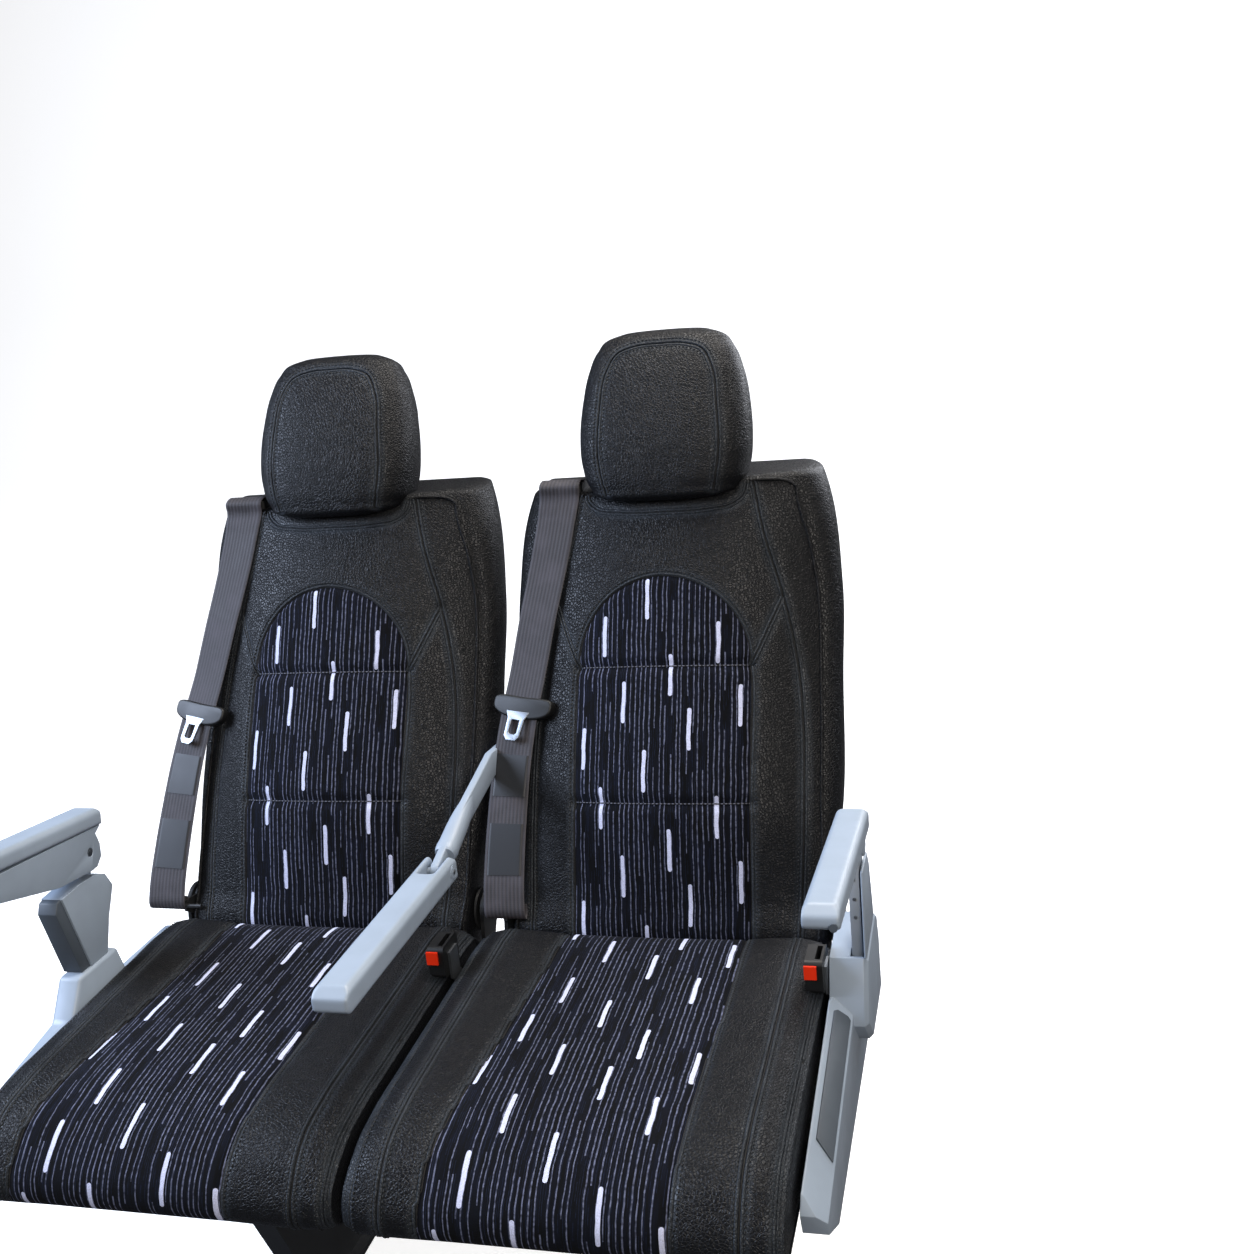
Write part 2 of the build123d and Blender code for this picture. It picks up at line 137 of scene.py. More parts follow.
def squared_circle(angles: np.ndarray, power: float) -> tuple[np.ndarray, np.ndarray]:
    """Draw a circle out towards its corners.

    Args:
        angles: Where round the circle.
        power: 1 for a circle, less for a squarer form.

    Returns:
        The form's cosine and sine.
    """
    c, s = np.cos(angles), np.sin(angles)
    return np.sign(c) * np.abs(c) ** power, np.sign(s) * np.abs(s) ** power


def on_back(seat: Seat, across: Any, height: Any, forward: Any) -> np.ndarray:
    """Place points given along the leaning back.

    Args:
        seat: The place.
        across: Sideways from the middle of the place.
        height: Along the back from the recline pin.
        forward: Square to the back, towards the sitter.

    Returns:
        Points with X, Y and Z in the last axis.
    """
    across, height, forward = np.broadcast_arrays(across, height, forward)
    y = PIVOT_Y + height * math.sin(LEAN) - forward * math.cos(LEAN)
    z = PIVOT_Z + height * math.cos(LEAN) + forward * math.sin(LEAN)
    return np.stack([across + seat.centre_x, y, z], axis=-1)


def add_node(tree: bpy.types.NodeTree, kind: str, inputs: Mapping[Any, Any], settings: Mapping[str, Any]) \
        -> bpy.types.Node:
    """Add one node to a tree.

    Args:
        tree: The tree.
        kind: Blender's node type.
        inputs: Values or sockets, by the input's name or number.
        settings: The node's own settings.

    Returns:
        The new node.
    """
    node = tree.nodes.new(kind)
    for key, value in settings.items():
        setattr(node, key, value)
    for key, value in inputs.items():
        if isinstance(value, bpy.types.NodeSocket):
            tree.links.new(value, node.inputs[key])
        else:
            node.inputs[key].default_value = value
    return node


# Materials

class Shading:
    """One material under construction, with a node tree that is filled node by node."""

    def __init__(self, name: str) -> None:
        """Start a material.

        Args:
            name: Name of the real material.
        """
        self.material = bpy.data.materials.new(name)
        self.material.use_nodes = True
        self.tree = self.material.node_tree
        self.tree.nodes.clear()
        self.shader = self.add("ShaderNodeBsdfPrincipled")
        self.add("ShaderNodeOutputMaterial", {"Surface": self.shader.outputs["BSDF"]})

    def add(self, kind: str, inputs: Mapping[Any, Any] | None = None, **settings: Any) -> bpy.types.Node:
        """Add one node, as add_node does."""
        return add_node(self.tree, kind, inputs or {}, settings)

    def math(self, operation: str, *values: Any) -> bpy.types.NodeSocket:
        """Add a Math node and return its result."""
        return self.add("ShaderNodeMath", dict(enumerate(values)), operation=operation).outputs[0]

    def wave(self, place: Any, pitch: float) -> bpy.types.NodeSocket:
        """Add a sine wave that repeats at a real distance, in metres."""
        return self.math("SINE", self.math("MULTIPLY", place, 2 * math.pi / pitch))

    def chance(self, number: Any) -> bpy.types.NodeSocket:
        """Add a fixed random share for each whole number."""
        return self.add("ShaderNodeTexWhiteNoise", {"W": number}, noise_dimensions="1D").outputs["Value"]

    def blend(self, share: Any, first: Any, second: Any) -> bpy.types.NodeSocket:
        """Mix two colours by a share.

        Args:
            share: A socket or number from 0 to 1.
            first: Colour at 0.
            second: Colour at 1.

        Returns:
            The mixed colour's socket.
        """
        node = self.add("ShaderNodeMix", {0: share, 6: first, 7: second}, data_type="RGBA")
        return node.outputs[2]

    def spread(self, value: Any, low: float, high: float, to_low: float, to_high: float) -> bpy.types.NodeSocket:
        """Map a range of values onto another one, clamped.

        Args:
            value: The socket to map.
            low: Start of the range in.
            high: End of the range in.
            to_low: Start of the range out.
            to_high: End of the range out.

        Returns:
            The mapped socket.
        """
        return self.add("ShaderNodeMapRange", {"Value": value, "From Min": low, "From Max": high,
                                               "To Min": to_low, "To Max": to_high}).outputs[0]

    def noise(self, place: Any, size_mm: float, detail: float = 2.0) -> bpy.types.NodeSocket:
        """Add noise whose features have a real size.

        Args:
            place: Socket with coordinates in metres.
            size_mm: Size of one feature in millimetres.
            detail: Number of finer layers.

        Returns:
            The noise value's socket.
        """
        return self.add("ShaderNodeTexNoise", {"Vector": place, "Scale": 1000 / size_mm,
                                               "Detail": detail}).outputs["Fac"]

    def object_place(self) -> bpy.types.NodeSocket:
        """Coordinates in metres in the object's own frame."""
        return self.add("ShaderNodeTexCoord").outputs["Object"]

    def uv(self) -> tuple[bpy.types.NodeSocket, bpy.types.NodeSocket]:
        """Return the cloth's own coordinates in metres, across and along."""
        place = self.add("ShaderNodeUVMap", uv_map="cloth").outputs["UV"]
        parts = self.add("ShaderNodeSeparateXYZ", {0: place})
        return parts.outputs[0], parts.outputs[1]

    def bump(self, height: Any, depth_mm: float, strength: float, below: Any = None) -> bpy.types.NodeSocket:
        """Add a bump of a real depth.

        Args:
            height: Socket with the height from 0 to 1.
            depth_mm: Depth of the relief in millimetres.
            strength: How strongly it shows.
            below: Normal of another bump under this one.

        Returns:
            The normal's socket.
        """
        inputs: dict[str, Any] = {"Height": height, "Distance": depth_mm / 1000, "Strength": strength}
        if below is not None:
            inputs["Normal"] = below
        return self.add("ShaderNodeBump", inputs).outputs[0]

    def finish(self, **inputs: Any) -> bpy.types.Material:
        """Set the shader's sockets and hand over the material.

        Args:
            inputs: Values or sockets by the socket's name, with _ for a space.

        Returns:
            The finished material.
        """
        for key, value in inputs.items():
            socket = self.shader.inputs[key.replace("_", " ")]
            if isinstance(value, bpy.types.NodeSocket):
                self.tree.links.new(value, socket)
            else:
                socket.default_value = value
        return self.material


@dataclass(frozen=True)
class UpholsteryFinish:
    """Black pebbled leather with a woven striped insert where a sewn panel says so."""

    leather: str = "#101114"
    # Colour of the painted highlight beside the seams and on their fold ridges
    leather_highlight: str = "#34393f"
    # Colour of the painted shade in the grain's crevices
    leather_crevice_shade: str = "#08090a"
    ground: str = "#020306"
    ground_blue: str = "#070b18"
    ground_deep: str = "#04050a"
    line_dim: str = "#1a2136"
    line_bright: str = "#666b82"
    dash: str = "#cdd2ee"
    grain_mm: float = 3.6
    thread_pitch: float = 0.0039
    dash_pitch: float = 0.0280
    dash_row: float = 0.2150
    dash_long: float = 0.0520
    dash_wide: float = 0.0050
    rib_pitch: float = 0.0011
    pick_pitch: float = 0.0014

    def lines(self, make: Shading, u: Any, v: Any, pitch: float, run: float, shown: float) -> bpy.types.NodeSocket:
        """Draw thin broken lines that run along the cloth.

        Args:
            make: The material under construction.
            u: Across the cloth.
            v: Along the cloth.
            pitch: Distance between lines.
            run: Length of one unbroken run.
            shown: Share of the runs that shows.

        Returns:
            Share of line at each point.
        """
        cell = make.math("DIVIDE", u, pitch)
        column = make.math("FLOOR", cell)
        shift = make.chance(column)
        step = make.math("FLOOR", make.math("ADD", make.math("DIVIDE", v, run), make.math("MULTIPLY", shift, 37.0)))
        pair = make.add("ShaderNodeCombineXYZ", {0: column, 1: step}).outputs[0]
        pick = make.add("ShaderNodeTexWhiteNoise", {"Vector": pair}, noise_dimensions="2D").outputs["Value"]
        middle = make.spread(shift, 0.0, 1.0, 0.3, 0.7)
        across = make.math("ABSOLUTE", make.math("SUBTRACT", make.math("FRACT", cell), middle))
        half = make.spread(pick, 0.0, 1.0, 0.07, 0.13)
        line = make.math("LESS_THAN", across, half)
        beads = make.add("ShaderNodeCombineXYZ", {0: column, 1: v}).outputs[0]
        fleck = make.spread(make.noise(beads, 4.5, 1.0), 0.32, 0.62, 0.25, 1.0)
        return make.math("MULTIPLY", make.math("MULTIPLY", line, make.math("LESS_THAN", pick, shown)), fleck)

    def insert_colour(self, make: Shading) -> tuple[bpy.types.NodeSocket, bpy.types.NodeSocket]:
        """Draw the woven pattern.

        Args:
            make: The material under construction.

        Returns:
            Colour of the cloth, and the share of bright dash.
        """
        u, v = make.uv()
        place = make.add("ShaderNodeCombineXYZ", {0: u, 1: v}).outputs[0]
        wobble = make.spread(make.noise(place, 26.0), 0, 1, -0.0016, 0.0016)
        u = make.math("ADD", u, wobble)
        streak = make.add("ShaderNodeMapping", {"Vector": place, "Scale": (1.0, 0.1, 1.0)}).outputs[0]
        ground = make.blend(make.spread(make.noise(streak, 5.0), 0.4, 0.7, 0, 1), linear(self.ground),
                            linear(self.ground_blue))
        dim = self.lines(make, make.math("ADD", u, 0.0012), v, self.thread_pitch * 0.63, 0.017, 0.55)
        bright = self.lines(make, u, v, self.thread_pitch * 1.7, 0.048, 0.84)
        colour = make.blend(dim, ground, linear(self.line_dim))
        colour = make.blend(bright, colour, linear(self.line_bright))
        lane = make.math("DIVIDE", u, self.dash_pitch)
        lane_id = make.math("FLOOR", lane)
        jitter = make.chance(lane_id)
        phase = make.math("ADD", make.math("MULTIPLY", lane_id, 0.382), make.math("MULTIPLY", jitter, 0.16))
        along = make.math("FRACT", make.math("ADD", make.math("DIVIDE", v, self.dash_row), phase))
        side = make.math("SUBTRACT", make.math("FRACT", lane), make.spread(jitter, 0, 1, 0.35, 0.65))
        across = make.math("MULTIPLY", side, self.dash_pitch)
        end = make.math("SUBTRACT", make.math("MULTIPLY", make.math("ABSOLUTE", make.math("SUBTRACT", along, 0.5)),
                                              self.dash_row), (self.dash_long - self.dash_wide) / 2)
        beyond = make.math("MAXIMUM", end, 0.0)
        reach = make.math("SQRT", make.math("ADD", make.math("MULTIPLY", across, across),
                                            make.math("MULTIPLY", beyond, beyond)))
        dash = make.math("LESS_THAN", reach, self.dash_wide / 2)
        return make.blend(dash, colour, linear(self.dash)), dash

    def build(self) -> bpy.types.Material:
        """Build the material: satin black hide, and dull cloth whose dashes stand out."""
        make = Shading("black_leather_and_striped_moquette")
        place = make.object_place()
        # Hide: near-black, pebbled, with a satin gloss that varies from hand to hand
        warped = make.add("ShaderNodeVectorMath", {0: place, 1: make.add("ShaderNodeVectorMath", {
            0: make.add("ShaderNodeTexNoise", {"Vector": place, "Scale": 260.0}).outputs["Color"],
            3: 0.0022}, operation="SCALE").outputs[0]}).outputs[0]
        cells = make.add("ShaderNodeTexVoronoi", {"Vector": warped, "Scale": 1000 / self.grain_mm,
                                                  "Randomness": 1.0}, feature="DISTANCE_TO_EDGE").outputs[0]
        pebble = make.spread(cells, 0.0, 0.22, 0.0, 1.0)
        broad = make.noise(place, 55.0, 3.0)
        # Painted highlight: paler hide in a patchy band beside each seam and on the fold ridges, where the ridges
        # would catch the light
        painted_highlight = make.add("ShaderNodeAttribute", attribute_name="painted_highlight").outputs["Fac"]
        highlight = make.math("MULTIPLY", painted_highlight, make.spread(broad, 0.3, 0.7, 0.4, 1.0))
        hide = make.blend(highlight, linear(self.leather), linear(self.leather_highlight))
        # Painted shade: the hide is darker in the crevices between the grain's pebbles, where the bump is low
        hide = make.blend(make.spread(pebble, 0.0, 0.7, 0.55, 0.0), hide, linear(self.leather_crevice_shade))
        hide_rough = make.spread(make.math("ADD", pebble, broad), 0.4, 1.6, 0.52, 0.34)
        grain = make.bump(pebble, 0.6, 0.8)
        grain = make.bump(make.noise(place, 18.0, 4.0), 2.0, 0.45, grain)
        # Cloth: fine ribs from the weave, and no gloss
        cloth, dash = self.insert_colour(make)
        u, v = make.uv()
        rib, pick = make.wave(u, self.rib_pitch), make.wave(v, self.pick_pitch)
        weave = make.bump(make.spread(make.math("MULTIPLY", rib, pick), -1, 1, 0, 1), 0.25, 0.5)
        fuzz = make.noise(place, 1.2, 2.0)
        cloth = make.blend(make.spread(fuzz, 0.35, 0.75, 0.0, 0.35), cloth, linear(self.ground_deep))
        panel = make.add("ShaderNodeAttribute", attribute_name="insert").outputs["Fac"]
        inside = make.math("GREATER_THAN", panel, 0.5)
        normal = make.add("ShaderNodeMix", {0: inside, 4: grain, 5: weave}, data_type="VECTOR").outputs[1]
        rough = make.math("ADD", make.math("MULTIPLY", make.math("SUBTRACT", 1.0, inside), hide_rough),
                          make.math("MULTIPLY", inside, make.spread(dash, 0, 1, 1.0, 0.8)))
        return make.finish(Base_Color=make.blend(inside, hide, cloth), Roughness=rough, Normal=normal,
                           Specular_IOR_Level=0.20)


@dataclass(frozen=True)
class ThreadFinish:
    """Sewing thread: twisted, with a faint lustre that catches the light on each stitch."""

    name: str
    colour: str
    shade: str

    def build(self) -> bpy.types.Material:
        """Build the material."""
        make = Shading(self.name)
        place = make.object_place()
        twist = make.noise(place, 0.6, 1.0)
        colour = make.blend(twist, linear(self.colour), linear(self.shade))
        return make.finish(Base_Color=colour, Roughness=make.spread(twist, 0, 1, 0.45, 0.7),
                           Normal=make.bump(twist, 0.1, 0.4))


@dataclass(frozen=True)
class WebbingFinish:
    """Belt webbing: grey-brown polyester with lengthwise ribs, painted shade between the ribs, and a little lighter
    where it rubs.
    """

    colour: str = "#3d3a3e"
    groove_shade: str = "#232125"
    wear_and_highlight: str = "#55525a"
    rib_pitch: float = 0.0052
    twill_pitch: float = 0.0022

    def build(self) -> bpy.types.Material:
        """Build the material."""
        make = Shading("ribbed_belt_webbing")
        u, v = make.uv()
        rib = make.wave(u, self.rib_pitch)
        slant = make.math("ADD", make.math("MULTIPLY", v, 2 * math.pi / self.twill_pitch),
                          make.math("MULTIPLY", make.math("ABSOLUTE", rib), 2.4))
        pick = make.math("SINE", slant)
        height = make.math("ADD", make.spread(rib, -1, 1, 0, 0.7), make.spread(pick, -1, 1, 0, 0.3))
        rough = make.noise(make.object_place(), 30.0)
        # Painted shade: the webbing is darker where the rib relief is low
        colour = make.blend(make.spread(height, 0.1, 0.9, 0, 1), linear(self.groove_shade), linear(self.colour))
        colour = make.blend(make.spread(rough, 0.45, 0.8, 0, 0.4), colour, linear(self.wear_and_highlight))
        return make.finish(Base_Color=colour, Roughness=make.spread(rough, 0, 1, 0.62, 0.8),
                           Normal=make.bump(height, 0.5, 0.6))


@dataclass(frozen=True)
class PlasticFinish:
    """Moulded plastic: one colour with a fine spark texture and a soft, uneven gloss."""

    name: str
    colour: str
    rough: float = 0.42
    texture_mm: float = 0.7
    relief: float = 0.25

    def build(self) -> bpy.types.Material:
        """Build the material."""
        make = Shading(self.name)
        place = make.object_place()
        wide = make.noise(place, 60.0, 3.0)
        spark = make.noise(place, self.texture_mm, 2.0)
        colour = make.blend(make.spread(wide, 0.35, 0.75, 0, 0.7), linear(self.colour), dimmed(self.colour, 0.80))
        rough = make.spread(make.math("ADD", wide, make.math("MULTIPLY", spark, 0.4)), 0.4, 1.0,
                            self.rough - 0.06, self.rough + 0.08)
        return make.finish(Base_Color=colour, Roughness=rough, Normal=make.bump(spark, 0.06, self.relief))


@dataclass(frozen=True)
class MetalFinish:
    """Metal: bright and brushed, or under a satin powder coat with an orange-peel skin."""

    name: str
    colour: str
    coated: bool
    rough: float = 0.3
    streak: str = "#8f9499"

    def build(self) -> bpy.types.Material:
        """Build the material."""
        make = Shading(self.name)
        place = make.object_place()
        if self.coated:
            peel = make.noise(place, 1.4, 1.0)
            wide = make.noise(place, 90.0, 2.0)
            colour = make.blend(make.spread(wide, 0.4, 0.7, 0, 1), linear(self.colour), dimmed(self.colour, 0.7))
            return make.finish(Base_Color=colour,
                               Roughness=make.spread(wide, 0, 1, self.rough, self.rough + 0.15),
                               Normal=make.bump(peel, 0.15, 0.3))
        stretched = make.add("ShaderNodeMapping", {"Vector": place, "Scale": (1.0, 0.05, 1.0)}).outputs[0]
        brush = make.noise(stretched, 0.4, 2.0)
        colour = make.blend(make.spread(brush, 0.3, 0.7, 0, 1), linear(self.colour), linear(self.streak))
        return make.finish(Base_Color=colour, Metallic=1.0, Normal=make.bump(brush, 0.03, 0.25),
                           Roughness=make.spread(brush, 0.2, 0.8, self.rough - 0.06, self.rough + 0.1))


@dataclass
class Wardrobe:
    """Every finish of the seat, built once."""

    upholstery: bpy.types.Material = field(init=False)
    thread: bpy.types.Material = field(init=False)
    pale_thread: bpy.types.Material = field(init=False)
    seam_shade: bpy.types.Material = field(init=False)
    patch: bpy.types.Material = field(init=False)
    painted_post: bpy.types.Material = field(init=False)
    by_slot: dict[Slot, bpy.types.Material] = field(init=False)

    def __post_init__(self) -> None:
        """Build the materials."""
        self.upholstery = UpholsteryFinish().build()
        self.thread = ThreadFinish("black_sewing_thread", "#08090b", "#030304").build()
        self.pale_thread = ThreadFinish("grey_sewing_thread", "#6d7080", "#4a4c58").build()
        # Near-black cords along the seams: painted shade in their creases
        self.seam_shade = PlasticFinish("shadowed_leather_edge", "#050506", 0.7, 2.0, 0.4).build()
        self.patch = PlasticFinish("sewn_satin_cloth_patch", "#1d1f23", 0.5, 0.8, 0.3).build()
        self.painted_post = MetalFinish("light_grey_painted_steel", "#8d959e", True, 0.4).build()
        self.by_slot = {
            Slot.LEATHER: self.upholstery,
            Slot.WEBBING: WebbingFinish().build(),
            Slot.BLACK_PLASTIC: PlasticFinish("black_moulded_plastic", "#0b0c0d", 0.5).build(),
            Slot.STEEL: MetalFinish("bright_stamped_steel", "#8b9097", False, 0.42).build(),
            Slot.RED_BUTTON: PlasticFinish("red_release_button", "#e8310f", 0.3, 0.9, 0.1).build(),
            Slot.FRAME_PAINT: MetalFinish("black_powder_coat", "#1d1e20", True, 0.42).build(),
            Slot.DARK_TRIM: PlasticFinish("dark_grey_textured_trim", "#49515a", 0.55, 1.1, 0.5).build(),
            Slot.GREY_PLASTIC: PlasticFinish("light_grey_satin_plastic", "#95a2b1", 0.40, 0.6, 0.15).build(),
        }


# Meshes

def linked(name: str, data: bpy.types.ID) -> bpy.types.Object:
    """Put a mesh, curve, lamp or camera into the scene, at the origin."""
    item = bpy.data.objects.new(name, data)
    bpy.context.scene.collection.objects.link(item)
    return item


def plain_mesh(guide: bpy.types.Object) -> bpy.types.Mesh:
    """Take the finished mesh of an object with modifiers or curves, and remove the object."""
    mesh = bpy.data.meshes.new_from_object(guide.evaluated_get(bpy.context.evaluated_depsgraph_get()))
    guide.modifiers.clear()
    bpy.data.objects.remove(guide, do_unlink=True)
    return mesh


def poly_curve(name: str, rows: Sequence[np.ndarray]) -> bpy.types.Curve:
    """Make a curve with one straight-sided run through each row of points."""
    curve = bpy.data.curves.new(name, "CURVE")
    curve.dimensions = "3D"
    for row in rows:
        spline = curve.splines.new("POLY")
        spline.points.add(len(row) - 1)
        spline.points.foreach_set("co", np.column_stack([row, np.ones(len(row))]).reshape(-1))
    return curve


def new_object(name: str, mesh: bpy.types.Mesh, material: bpy.types.Material) -> bpy.types.Object:
    """Link a mesh into the scene.

    Args:
        name: Name of the piece.
        mesh: Its mesh, already in place.
        material: Its finish.

    Returns:
        The new object.
    """
    mesh.materials.clear()
    mesh.materials.append(material)
    return linked(name, mesh)


def seat_piece(piece: bpy.types.Object, body: str, slot: Slot, nodes: Sequence[str] = ()) -> None:
    """Hang a piece on the body that it rides on, hide the solids of the model that it replaces, and log it.

    Args:
        piece: The finished piece.
        body: The body that it rides on.
        slot: Its material slot in the record; not used.
        nodes: Solids of the model that it replaces.
    """
    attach(piece, body)
    if nodes:
        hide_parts(*nodes)
    LOG.info("%s: %d faces on %s", piece.name, len(piece.data.polygons), body)


def hermite(table: np.ndarray, places: np.ndarray) -> np.ndarray:
    """Read a table smoothly between its rows.

    Args:
        table: Rows with the place in the first column.
        places: Where to read it.

    Returns:
        One row of the other columns for each place.
    """
    xs, ys = table[:, 0], table[:, 1:]
    slopes = np.gradient(ys, xs, axis=0)
    index = np.clip(np.searchsorted(xs, places) - 1, 0, len(xs) - 2)
    span = (xs[index + 1] - xs[index])[:, None]
    part = ((places - xs[index])[:, None] / span)
    p2, p3 = part ** 2, part ** 3
    return ((2 * p3 - 3 * p2 + 1) * ys[index] + (p3 - 2 * p2 + part) * span * slopes[index]
            + (-2 * p3 + 3 * p2) * ys[index + 1] + (p3 - p2) * span * slopes[index + 1])


def line_distance(u: np.ndarray, v: np.ndarray, line: np.ndarray) -> np.ndarray:
    """Distance from each point to a polyline in the cloth's own plane.

    Args:
        u: Across, any shape.
        v: Along, the same shape.
        line: Points of the polyline.

    Returns:
        Distances in metres.
    """
    best = np.full(u.shape, 1e9)
    for a, b in zip(line, line[1:]):
        d = b - a
        part = np.clip(((u - a[0]) * d[0] + (v - a[1]) * d[1]) / (d @ d), 0, 1)
        best = np.minimum(best, np.hypot(u - a[0] - part * d[0], v - a[1] - part * d[1]))
    return best


@dataclass(frozen=True)
class Seam:
    """A sewn line: its course on the cloth and how deep it pulls in."""

    course: tuple[tuple[float, float], ...]
    depth: float = 0.0025
    width: float = 0.006
    stitch_rows: tuple[float, ...] = (-0.0062, 0.0062)
    folds: tuple[float, ...] = (-0.0026, 0.0026)

    @property
    def points(self) -> np.ndarray:
        """The course as an array, rounded between its corners."""
        pts = np.array(self.course, dtype=float)
        if len(pts) < 3:
            return pts
        steps = run_lengths(pts)
        return hermite(np.column_stack([steps, pts]), np.linspace(0, steps[-1], 6 * len(pts)))

    def row(self, offset: float) -> np.ndarray:
        """The course moved sideways.

        Args:
            offset: How far, in metres.

        Returns:
            Points about 3 mm apart.
        """
        pts = self.points
        steps = run_lengths(pts)
        at = np.linspace(0, steps[-1], max(3, int(steps[-1] / 0.003)))
        out = np.column_stack([np.interp(at, steps, pts[:, k]) for k in (0, 1)])
        run = np.gradient(out, axis=0)
        run /= np.linalg.norm(run, axis=1)[:, None] + 1e-12
        return out + offset * np.column_stack([-run[:, 1], run[:, 0]])


@dataclass
class SoftSkin:
    """A closed sewn cover on a regular grid of rings, each vertex with its place on the cloth.

    Attributes:
        grid: Points, rings by columns.
        u: Across the cloth.
        v: Along the cloth.
        face: 1 on the sewn face, falling to 0 away from it.
    """

    grid: np.ndarray
    u: np.ndarray
    v: np.ndarray
    face: np.ndarray

    def normals(self) -> np.ndarray:
        """Outward unit normals of the grid."""
        along = np.gradient(self.grid, axis=0)
        around = (np.roll(self.grid, -1, axis=1) - np.roll(self.grid, 1, axis=1)) / 2
        out = np.cross(around, along)
        out /= np.linalg.norm(out, axis=2)[..., None] + 1e-12
        middle = self.grid.reshape(-1, 3).mean(axis=0)
        return out if ((self.grid - middle) * out).sum() > 0 else -out

    def faces(self) -> list[tuple[int, ...]]:
        """Quads between rings and a closing face at each end."""
        rings, cols = self.u.shape
        quads = [(r * cols + c, r * cols + (c + 1) % cols, (r + 1) * cols + (c + 1) % cols, (r + 1) * cols + c)
                 for r in range(rings - 1) for c in range(cols)]
        quads.append(tuple(range(cols))[::-1])
        quads.append(tuple((rings - 1) * cols + c for c in range(cols)))
        return quads

    def mesh(self, name: str) -> bpy.types.Mesh:
        """The grid as a mesh with all normals outward."""
        mesh = bpy.data.meshes.new(name)
        mesh.from_pydata(self.grid.reshape(-1, 3).tolist(), [], self.faces())
        work = bmesh.new()
        work.from_mesh(mesh)
        bmesh.ops.recalc_face_normals(work, faces=work.faces)
        work.to_mesh(mesh)
        work.free()
        return mesh

    def hold(self, seams: Iterable[Seam], held: np.ndarray, reach: float = 0.010) -> np.ndarray:
        """Hold the cover down along its seams.

        Args:
            seams: The sewn lines.
            held: 1 where a vertex is held already.
            reach: Distance from a seam at which the cover is free.

        Returns:
            1 where a vertex is sewn down, 0 where it is free.
        """
        for seam in seams:
            near = 1 - smooth_step(SEAM_HOLDS, reach, line_distance(self.u, self.v, seam.points))
            held = np.maximum(held, near * self.face)
        return held

    def wear_and_highlight(self, seams: Iterable[Seam]) -> np.ndarray:
        """Share of painted highlight: a soft band on both sides of each seam, where the seam's ridges would catch the
        light.
        """
        painted_highlight = np.zeros(self.u.shape)
        for seam in seams:
            gap = line_distance(self.u, self.v, seam.points)
            painted_highlight = np.maximum(painted_highlight, np.exp(-((gap - HIGHLIGHT_FROM) / HIGHLIGHT_WIDE) ** 2))
        return painted_highlight * self.face

    def inflate(self, held: np.ndarray, cap: float) -> None:
        """Blow the cover up between its seams with a cloth simulation.

        Args:
            held: 1 where a vertex is sewn down, 0 where it is free.
            cap: The furthest that a vertex may move.
        """
        mesh = self.mesh("cover_in_simulation")
        piece = linked("cover_in_simulation", mesh)
        group = piece.vertex_groups.new(name="sewn_down")
        for index, weight in enumerate(held.reshape(-1)):
            if weight > 0.01:
                group.add([index], float(weight), "REPLACE")
        cloth = piece.modifiers.new("filling", "CLOTH")
        cloth.settings.use_pressure = True
        cloth.settings.uniform_pressure_force = FILLING
        cloth.settings.effector_weights.gravity = 0
        cloth.settings.vertex_group_mass = group.name
        cloth.settings.quality = 5
        cloth.settings.tension_stiffness = 12
        cloth.settings.compression_stiffness = 12
        cloth.settings.bending_stiffness = 0.6
        steps = 20
        cloth.point_cache.frame_start, cloth.point_cache.frame_end = 1, steps
        scene = bpy.context.scene
        for step in range(1, steps + 1):
            scene.frame_set(step)
            bpy.context.evaluated_depsgraph_get().update()
        done = piece.evaluated_get(bpy.context.evaluated_depsgraph_get()).to_mesh()
        moved = np.empty(len(mesh.vertices) * 3)
        done.vertices.foreach_get("co", moved)
        shift = moved.reshape(self.grid.shape) - self.grid
        length = np.linalg.norm(shift, axis=2)[..., None] + 1e-12
        shift *= np.minimum(1.0, cap / length)
        self.grid = self.grid + shift
        scene.frame_set(1)
        bpy.data.objects.remove(piece, do_unlink=True)
        bpy.data.meshes.remove(mesh)

    def refine(self) -> None:
        """Halve the grid's spacing with smooth points in between."""
        def rows(a: np.ndarray) -> np.ndarray:
            ends = np.concatenate([2 * a[:1] - a[1:2], a, 2 * a[-1:] - a[-2:-1]])
            mid = (-ends[:-3] + 9 * ends[1:-2] + 9 * ends[2:-1] - ends[3:]) / 16
            out = np.empty((len(a) * 2 - 1,) + a.shape[1:])
            out[::2], out[1::2] = a, mid
            return out

        def cols(a: np.ndarray) -> np.ndarray:
            nxt, far, last = np.roll(a, -1, axis=1), np.roll(a, -2, axis=1), np.roll(a, 1, axis=1)
            mid = (-last + 9 * a + 9 * nxt - far) / 16
            out = np.empty((a.shape[0], a.shape[1] * 2) + a.shape[2:])
            out[:, ::2], out[:, 1::2] = a, mid
            return out

        self.grid = cols(rows(self.grid))
        self.u, self.v, self.face = (cols(rows(a)) for a in (self.u, self.v, self.face))
        self.face = np.clip(self.face, 0, 1)

    def sew(self, seams: Iterable[Seam]) -> None:
        """Pull the cover in along its seams.

        Args:
            seams: The sewn lines.
        """
        pull = np.zeros(self.u.shape)
        for seam in seams:
            gap = line_distance(self.u, self.v, seam.points)
            pull += seam.depth * np.exp(-(gap / seam.width) ** 2) * self.face
        self.grid = self.grid - self.normals() * pull[..., None]

